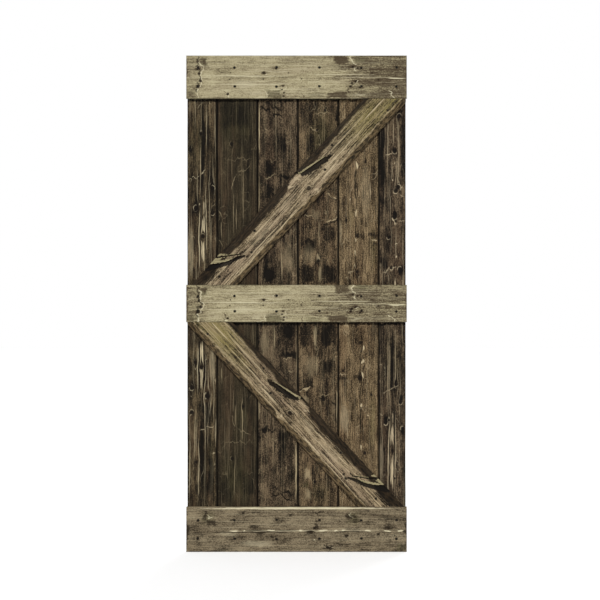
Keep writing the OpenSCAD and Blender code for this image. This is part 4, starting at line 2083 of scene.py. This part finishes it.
def sixth_plank() -> Plank:
    """The plank at the right edge: a row of dark knots with pale sides, and one bright streak."""
    return Plank(
        node="plank_6",
        slot="plank_stain",
        finish=shade_of(
            PLANK_FINISH, stain(15, 11, 7), stain(61, 50, 37), stain(118, 101, 78),
            bright=stain(202, 184, 150),
            streak_share=0.7, speck_share=2.0, fibre_share=1.6,
        ),
        growth=Growth(9.2, -6.0, 44.0, 6.0, 0.02),
        tongued=False,
        knots=knots(
            (1222, 4, 7, 0.9, 200), (1216, -32, 8, 0.6, 30), (1352, 16, 6, 0.6, 150),
            (1440, -10, 8, 1.0, 170),
            (1552, -14, 8, 1.0, 150), (1570, -26, 8, 1.0, 300), (1724, -10, 8, 0.8, 170),
            (1875, -30, 8, 0.4, 0),
            (434, 0, 5), (555, 28, 8, 0.8, 200), (566, 14, 5, 0.6, 120), (700, -8, 5, 0.6, 0),
            (718, -16, 6, 0.5, 180),
            (530, -44, 7, 0.8, 60), (642, -36, 7, 0.8, 200), (315, -10, 4, 0.5, 90), (840, -26, 4),
            (285, -32, 4),
        ),
        marks=[
            *each(border, (250, 620, 9, 2.6, 0.9), (250, 700, -9, 2.6, 0.9), (600, 985, -2, 9, 0.7)),
            *each(
                pale_line, (262, 426, -3, 3.4, 1.0), (270, 420, 3, 3.0, 0.9), (442, 560, -2, 3.2, 1.0),
                (448, 550, 4, 2.8, 0.85), (550, 600, -2, 3.2, 0.5), (300, 600, 13, 2.2, 0.7),
                (300, 620, -14, 2.0, 0.5), (640, 985, 12, 1.8, 0.4), (680, 985, -14, 1.8, 0.4),
                (300, 500, 45, 12, 0.22), (320, 500, 58, 3, 0.4), (1140, 1180, -13, 3.4, 1.0),
                (1580, 1700, -23, 2.0, 0.5), (1590, 1700, -2, 1.8, 0.5), (1730, 1900, -8, 1.8, 0.45),
                (1240, 1420, -14, 2.0, 0.4), (1600, 1900, -26, 1.8, 0.4),
            ),
            *each(
                pale, (1272, -16, 6, 4, 0.9), (1324, -16, 6, 4, 0.9), (1670, -13, 7, 3, 0.8),
                (1598, -2, 6, 3, 0.8),
            ),
            *strokes(
                Kind.PALE, ((1216, 8), (1222, -18), 3.0, 0.9), ((1412, -18), (1430, 4), 4.0, 0.9),
                ((1420, -26), (1426, -56), 3.0, 0.4), ((1564, -34), (1572, -46), 2.6, 0.7),
                ((1540, -30), (1530, -56), 2.6, 0.4), ((1710, 30), (1718, -4), 2.4, 0.6),
                ((1200, 40), (1222, 10), 3.0, 0.4), ((576, 40), (590, 56), 2.6, 0.5),
                ((688, 44), (706, -12), 2.4, 0.5), ((800, 46), (812, 60), 2.4, 0.4),
            ),
            *blocks(
                Kind.DARK, (1430, 1950, 30, 60, 0.75, 0.2), (1560, 1950, -60, -36, 0.75, 0.2),
                (1190, 1290, 12, 60, 0.45, 0.2), (1180, 1260, -60, -40, 0.6, 0.2),
                (600, 985, 14, 60, 0.35, 0.1),
            ),
            *each(
                dark, (1212, -36, 24, 16, 0.8), (1450, -12, 10, 14, 0.9), (1560, -18, 18, 14, 0.7),
                (1728, -10, 18, 12, 0.7), (1890, -34, 34, 18, 0.8), (560, 26, 24, 20, 0.6),
                (520, -44, 20, 14, 0.6), (660, -34, 26, 14, 0.6),
            ),
            *each(olive, (800, 0, 190, 66, 0.6), (1860, 0, 90, 60, 0.4)),
            *painted_rail_shadows(),
        ],
    )


PLAIN_RAIL_KNOTS = (
    (48, 33, 5), (50, -42, 7), (62, -18, 5), (55, 14, 5), (190, 18, 2.5), (187, -10, 2.5), (440, 18, 2.5),
    (333, 18, 6),
    (331, -9, 3), (178, -74, 5), (416, -38, 4), (412, -54, 3.5), (420, -68, 4), (418, -82, 4), (386, 38, 6),
    (716, 44, 5), (736, 38, 5), (712, -26, 5), (728, -18, 4.5), (706, -40, 5), (747, -44, 5),
    (799, 18, 3), (826, -12, 4),
    (495, -8, 2.5), (902, 44, 4),
)


def plain_rail(node: str, seed: float, stretch: float) -> Rail:
    """A rail cut from the pale board that the top and the middle rail share.

    Args:
        node: The rail's node.
        seed: Its seed for tone and fibre.
        stretch: How its width compares with the top rail's.

    Returns:
        The rail.
    """
    down = [(48, 92), (54, 62), (50, 40), (58, 12), (64, -6), (52, -22), (46, -50), (42, -70)]
    beside = [(58, 64), (68, 40), (64, 26), (66, 6), (70, -14), (60, -34), (54, -48), (44, -66), (48, -90)]
    marks = [
        *blocks(
            Kind.DARK, (38, 88, 44, 92, 0.4, 0.2), (-10, 40, -92, -54, 0.35, 0.3),
            (344, 408, -92, -56, 0.22, 0.7), (628, 705, 52, 92, 1.0, 0.5), (712, 790, 58, 92, 0.35, 0.4),
            (596, 705, -92, -60, 1.0, 0.5), (896, 950, -92, -54, 0.55, 0.3),
        ),
        *blocks(
            Kind.OLIVE, (66, 88, 40, 84, 1.0, 0.3), (-10, 40, -92, -54, 0.8, 0.3),
            (344, 408, -92, -56, 0.9, 0.7), (500, 600, -92, -64, 0.6, 0.2), (712, 790, 58, 92, 1.0, 0.4),
            (812, 872, -92, -60, 0.8, 0.2),
        ),
        *spots(
            Kind.DARK, (78, 62, 10, 22, 0.9, 0.1), (50, -40, 18, 12, 0.8, 0.1), (62, -20, 12, 8, 0.7, 0.1),
            (497, 0, 2.2, 80, 0.4), (700, 34, 16, 9, 0.8, 0.2), (742, 38, 18, 7, 0.8, 0.2),
            (706, -42, 18, 8, 0.8, 0.2), (880, 0, 400, 230, 0.56, 0.1), (14, 0, 90, 150, 0.3, 0.1),
            (0, 0, 8, 120, 0.8), (948, 0, 9, 120, 0.8),
        ),
        *each(
            pale, (182, -85, 7, 4, 0.9), (250, -30, 80, 26, 0.3), (300, -70, 40, 12, 0.3),
            (740, -78, 40, 8, 0.4),
        ),
        *strokes(
            Kind.DARK, ((152, -48), (172, -72), 2.2, 0.6), ((324, 14), (346, 22), 2.6, 0.8),
            ((498, -64), (504, -90), 3, 0.6), ((690, -50), (704, -70), 5, 0.8),
        ),
        *strokes(
            Kind.CRACK, ((176, -64), (176, -88), 2.2, 0.8), ((698, -42), (722, -22), 3.0, 0.9),
            ((716, -24), (744, -12), 2.4, 0.8),
        ),
        *strokes(
            Kind.PALE, ((341, -58), (343, -92), 2.4, 0.9), ((300, -90), (338, -88), 2.4, 0.7),
            ((336, 10), (350, 16), 2.4, 0.8), ((424, -34), (428, -58), 2.4, 0.7),
            ((426, -60), (424, -86), 2.4, 0.6), ((709, 92), (710, 62), 3.4, 1.0),
            ((708, 62), (730, 52), 2.4, 0.9), ((722, 40), (728, 26), 2.4, 0.9),
            ((730, -24), (748, -16), 2.2, 0.8), ((868, -58), (884, -74), 2.4, 0.9),
            ((884, -74), (892, -92), 2.6, 0.9),
        ),
        *each(
            pale_line, (10, 500, 4, 2.2, 0.9), (90, 500, -31, 2.0, 0.9), (500, 850, 9, 2.0, 0.7),
            (860, 948, -6, 3.4, 1.0), (500, 690, -22, 1.8, 0.5), (60, 640, 48, 1.6, 0.45),
            (220, 640, -52, 1.6, 0.4), (200, 480, 22, 1.8, 0.5), (620, 940, -3, 1.8, 0.6),
        ),
        *each(border, (620, 948, -9, 2.0, 0.6), (20, 600, 0, 1.6, 0.3)),
        *each(dark, (560, -52, 60, 10, 0.35), (800, 74, 60, 14, 0.25), (150, 30, 80, 24, 0.25)),
        *strokes(Kind.CRACK, (*down, 4.0, 0.8)),
        *strokes(Kind.PALE, (*beside, 3.0, 0.9)),
    ]
    return Rail(
        node=node,
        slot="rail_stain",
        finish=RAIL_FINISH,
        growth=Growth(seed, 10.0, 48.0, 9.0, 0.01),
        knots=[Knot(along, across * stretch, radius) for along, across, radius in PLAIN_RAIL_KNOTS],
        marks=[
            replace(mark, across=mark.across * stretch)
            for mark in marks
        ],
    )


def bottom_rail() -> Rail:
    """The rail at the foot: darker, with a broken pale streak along its middle."""
    bright = [
        (184, 232), (238, 252), (344, 392), (478, 502), (558, 606), (630, 650), (668, 690), (764, 802),
        (850, 880), (904, 940),
    ]
    return Rail(
        node="bottom_rail",
        slot="rail_stain",
        finish=shade_of(
            RAIL_FINISH, stain(50, 42, 30), stain(118, 105, 83), stain(152, 138, 110),
            bright=stain(222, 212, 178),
            olive=stain(82, 80, 52), speck_share=1.8, blotch_share=1.2, tone_share=0.8, streak_share=0.35,
            fibre_share=0.8, line_share=0.16,
        ),
        growth=Growth(14.6, -20.0, 50.0, 8.0, 0.0),
        knots=knots(
            (536, -12, 7), (552, 6, 6), (690, -26, 6), (870, 6, 6), (825, -20, 5), (245, 70, 5),
            (450, 62, 4), (368, -32, 4),
            (608, -78, 6), (896, -26, 3),
        ),
        marks=[
            # The first pale line is a painted highlight along the rail's top edge.
            *each(pale_line, (-10, 958, 89, 6.0, 0.95), (100, 940, -7, 2.4, 0.5)),
            *blocks(
                Kind.DARK, (70, 88, 34, 84, 0.9, 0.1), (84, 130, 16, 42, 0.9, 0.1),
                (684, 712, 40, 82, 0.7, 0.2), (916, 960, -94, -60, 0.7, 0.2),
            ),
            *blocks(
                Kind.OLIVE, (50, 130, 16, 86, 0.8, 0.1), (690, 750, 16, 84, 0.9, 0.2),
                (900, 960, -94, -58, 0.9, 0.2),
            ),
            *strokes(
                Kind.PALE, ((90, 64), (98, 46), 2.6, 0.7), ((98, 46), (112, 56), 2.6, 0.6),
                ((704, 76), (712, 50), 3.0, 0.4),
            ),
            *each(
                border, (60, 520, -12, 2.6, 0.9), (230, 345, -5, 2.6, 0.9), (390, 480, -4, 2.6, 0.9),
                (505, 560, -8, 3.0, 0.9), (605, 765, -11, 2.6, 0.9), (700, 940, -12, 2.4, 0.7),
            ),
            *each(
                dark, (290, 14, 30, 14, 0.8), (310, -14, 22, 8, 0.7), (400, 36, 22, 10, 0.6),
                (560, 12, 16, 22, 0.9), (590, 10, 24, 14, 0.5), (608, -78, 12, 8, 0.9),
                (770, -86, 50, 8, 0.5), (180, -88, 60, 6, 0.3),
            ),
            *strokes(Kind.DARK, ((552, 68), (592, 78), 3.5, 0.9), ((556, 78), (580, 60), 3.0, 0.8)),
            *spots(
                Kind.DARK, (724, 40, 22, 34, 0.6, 0.1), (860, 0, 260, 150, 0.3, 0.0), (0, 0, 10, 120, 0.9),
                (948, 0, 12, 120, 0.9),
            ),
            *strokes(
                Kind.CRACK, ((678, -18), (702, -42), 2.8, 0.9), ((686, -38), (704, -24), 2.4, 0.8),
                ((582, -62), (636, -92), 3.2, 0.9), ((604, -54), (612, -100), 3.2, 0.9),
                ((580, -84), (634, -70), 3.2, 0.9),
            ),
            *each(pale, (548, -46, 5, 4, 1.0), (300, -60, 90, 20, 0.22), (180, -20, 60, 14, 0.2)),
            *each(pale_line, *((start, end, -6, 4.0, 1.0) for start, end in bright)),
            *spots(Kind.DARK, *((along, 37, 16, 3.5, 0.7) for along in (196, 383, 560, 740))),
            *spots(Kind.DARK, *((along, -46, 16, 3.5, 0.7) for along in (40, 195, 378, 567))),
        ],
    )


LOWER_BRACE_FINISH = shade_of(BRACE_FINISH, stain(26, 20, 12), stain(112, 96, 72), stain(172, 153, 121))

# The torn branches of a brace: along, across, half width and depth at each point of a gouge, and
# the upper edge, the lower edge and the depth of the top at each station of a splinter.
UPPER_WANE = (
    (430, 39), (506, 36), (546, 14), (590, 12), (612, 26), (640, 33), (715, 34), (748, 28), (800, 25),
    (1000, 21),
)
LOWER_WANE = ((560, 27), (590, 16), (606, 10), (630, 24))
LOW_GOUGES = (
    ((30, 70, 15, 7), (75, 46, 15, 9), (120, 17, 10, 9), (160, 0, 8, 7), (182, -12, 4, 4)),
    ((90, 76, 3, 4), (120, 50, 3.5, 6), (158, 21, 3, 5), (172, 6, 2, 3)),
    ((160, 6, 3, 4), (192, 8, 2.5, 3)),
)
HIGH_GOUGES = (
    ((606, 46, 8, 6), (640, 33, 15, 8), (690, 23, 16, 9), (725, 14, 12, 8), (744, 8, 5, 5)),
    ((588, 76, 3, 4), (612, 42, 4, 6)),
    ((735, 26, 2, 3), (752, 10, 2.5, 3)),
)
LOW_SPLINTERS = (
    (
        3.0,
        (
            ((88, 73), (54, 73), 5.0), ((104, 59), (80, 51), 2.4), ((121, 45), (112, 28), 1.0),
            ((142, 28), (136, 18), 0.6), ((160, 15), (157, 11), 1.0), ((178, 0), (177, -3), 3.4),
        ),
    ),
    (
        2.0,
        (
            ((114, 73), (99, 73), 5.0), ((136, 51), (128, 47), 1.6), ((168, 24), (164, 19), 1.0),
            ((182, 10), (181, 7), 3.0),
        ),
    ),
)
HIGH_SPLINTER = (
    ((602, 64), (596, 55), 3.4), ((620, 57), (615, 50), 1.4), ((650, 49), (647, 43), 0.5),
    ((690, 39), (688, 34), 0.3), ((726, 30), (725, 26), 0.6), ((740, 25), (739, 23), 2.6),
)


def moved(place: tuple[float, ...], move: Point) -> tuple[float, ...]:
    """Moves a point of a brace along, and across too unless it lies at the upper edge."""
    along, across, *rest = place
    return (along + move[0], across + (move[1] if across < EDGE_FEATURES else 0), *rest)


def splinter(move: Point, thickness: float, stations: Iterable[tuple[Point, Point, float]]) -> Splinter:
    """Makes a splinter from its stations, each moved."""
    return Splinter(tuple((moved(a, move), moved(b, move), top) for a, b, top in stations), thickness)


def live_brace(
    node: str, falls: bool, shift: float, low_move: Point, high_move: Point, seed: float,
) -> Brace:
    """A brace with a torn branch near its low end and another past its middle.

    Args:
        node: The brace's node.
        falls: Whether it falls to the right.
        shift: How far it sits off centre.
        low_move: How far the features of its low end sit along and across from the upper brace's.
        high_move: The same for the features past its middle.
        seed: Its seed for tone and fibre.

    Returns:
        The brace.
    """
    a, b = low_move
    s, t = high_move
    return Brace(
        node=node,
        slot="brace_stain",
        finish=LOWER_BRACE_FINISH if falls else BRACE_FINISH,
        growth=Growth(seed, -18.0, 40.0, 6.0, 0.0),
        falls=falls,
        shift=shift,
        knots=[Knot(582 + s, -17 + t, 9, 0.6, 60), Knot(186 + a, -22 + b, 5)],
        upper_wane=(
            (-100, 34), (140 + a, 39),
            *((along + s, width) for along, width in UPPER_WANE),
            (1250, 12),
        ),
        lower_wane=(
            (-100, 24), (300, 27), *((along + s, width) for along, width in LOWER_WANE), (1250, 28),
        ),
        gouges=(
            *(Gouge(tuple(moved(place, low_move) for place in line)) for line in LOW_GOUGES),
            *(Gouge(tuple(moved(place, high_move) for place in line)) for line in HIGH_GOUGES),
        ),
        splinters=(
            *(splinter(low_move, thickness, stations) for thickness, stations in LOW_SPLINTERS),
            splinter(high_move, 2.2, HIGH_SPLINTER),
        ),
        marks=[
            # The first dark spot and the crack spot at the low end paint the shadow below the torn flake
            # over dark rough wood; the spot at 556 paints the shadow under the knot over darker wood.
            *spots(
                Kind.DARK, (0 + a, 44, 76, 40, 1.0, 0.3), (60 + a, -6 + b, 100, 22, 0.6, 0.0),
                (186 + a, -22 + b, 14, 8, 0.9, 0.1), (30, -50, 50, 30, 0.3, 0.0),
                (556 + s, -46 + t, 26, 20, 0.8, 0.0), (640 + s, -40 + t, 40, 14, 0.35, 0.0),
                (1090, -40, 60, 30, 0.5, 0.0), (880, -10, 160, 26, 0.25, 0.0),
            ),
            *spots(Kind.CRACK, (10 + a, 44, 84, 36, 0.6, 0.3)),
            *strokes(
                Kind.PALE, ((508 + s, 72), (548 + s, 32 + t), 3.6, 0.8),
                ((560 + s, 62), (590 + s, 34 + t), 3.4, 0.5),
            ),
            *spots(Kind.PALE, (599 + s, -50 + t, 10, 14, 0.6, 0.2)),
            *strokes(Kind.DARK, ((590 + s, -8 + t), (604 + s, -32 + t), 3.0, 0.8)),
            *each(
                pale_line, (100, 340, -46, 2.4, 0.7), (340 + s, 500 + s, -44 + t, 3.0, 0.9),
                (190, 560, 14, 2.6, 0.6), (200, 540, -8, 2.2, 0.6), (140, 420, -30, 2.4, 0.6),
                (640, 980, -12, 2.6, 0.7), (700, 1010, 22, 2.4, 0.6), (950, 1100, 8, 3.0, 0.8),
                (640 + s, 760 + s, -30 + t, 3.0, 0.8),
            ),
            *each(
                border, (380, 560, 2, 2.2, 0.5), (200, 420, -20, 2.0, 0.5), (780, 1000, -22, 3.0, 0.6),
                (800, 1040, 4, 2.6, 0.6), (760, 960, 14, 2.2, 0.5), (440, 560, -28, 2.6, 0.5),
                (120, 300, 4, 1.8, 0.4),
            ),
            *spots(
                Kind.OLIVE, (1000, 0, 260, 110, 1.0, 0.0), (1100, -20, 160, 90, 1.0, 0.2),
                (250, -4, 26, 14, 0.4, 0.0),
            ),
            *each(dark, (420 + s, -38 + t, 120, 6, 0.4), (860, -34, 150, 7, 0.5)),
            *each(pale, (300, -4, 90, 20, 0.25), (470, 8, 60, 16, 0.2)),
        ],
    )


def main() -> None:
    """Builds the door, board by board, then the studio, and reports each piece."""
    logging.basicConfig(level=logging.INFO, format="%(message)s")
    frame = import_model()
    shop = Workshop(frame["nodes"])
    boards: list[Board] = [
        first_plank(),
        second_plank(),
        third_plank(),
        fourth_plank(),
        fifth_plank(),
        sixth_plank(),
        plain_rail("top_rail", 11.4, 1.0),
        plain_rail("middle_rail", 12.9, 160 / 185),
        bottom_rail(),
        live_brace("upper_brace", False, 16.0, (0.0, 0.0), (0.0, 0.0), 17.3),
        live_brace("lower_brace", True, 6.0, (7.0, -7.0), (-20.0, 5.0), 18.8),
    ]
    for board in boards:
        piece = board.build(shop)
        log.info("%s: %d faces", piece.name, len(piece.data.polygons))
    for node in shop.rows:
        piece = shop.set_row(node)
        log.info("%s: %d faces", piece.name, len(piece.data.polygons))
    shop.clear()
    Studio().build()
    bpy.context.view_layer.update()


if __name__ == "__main__":
    main()
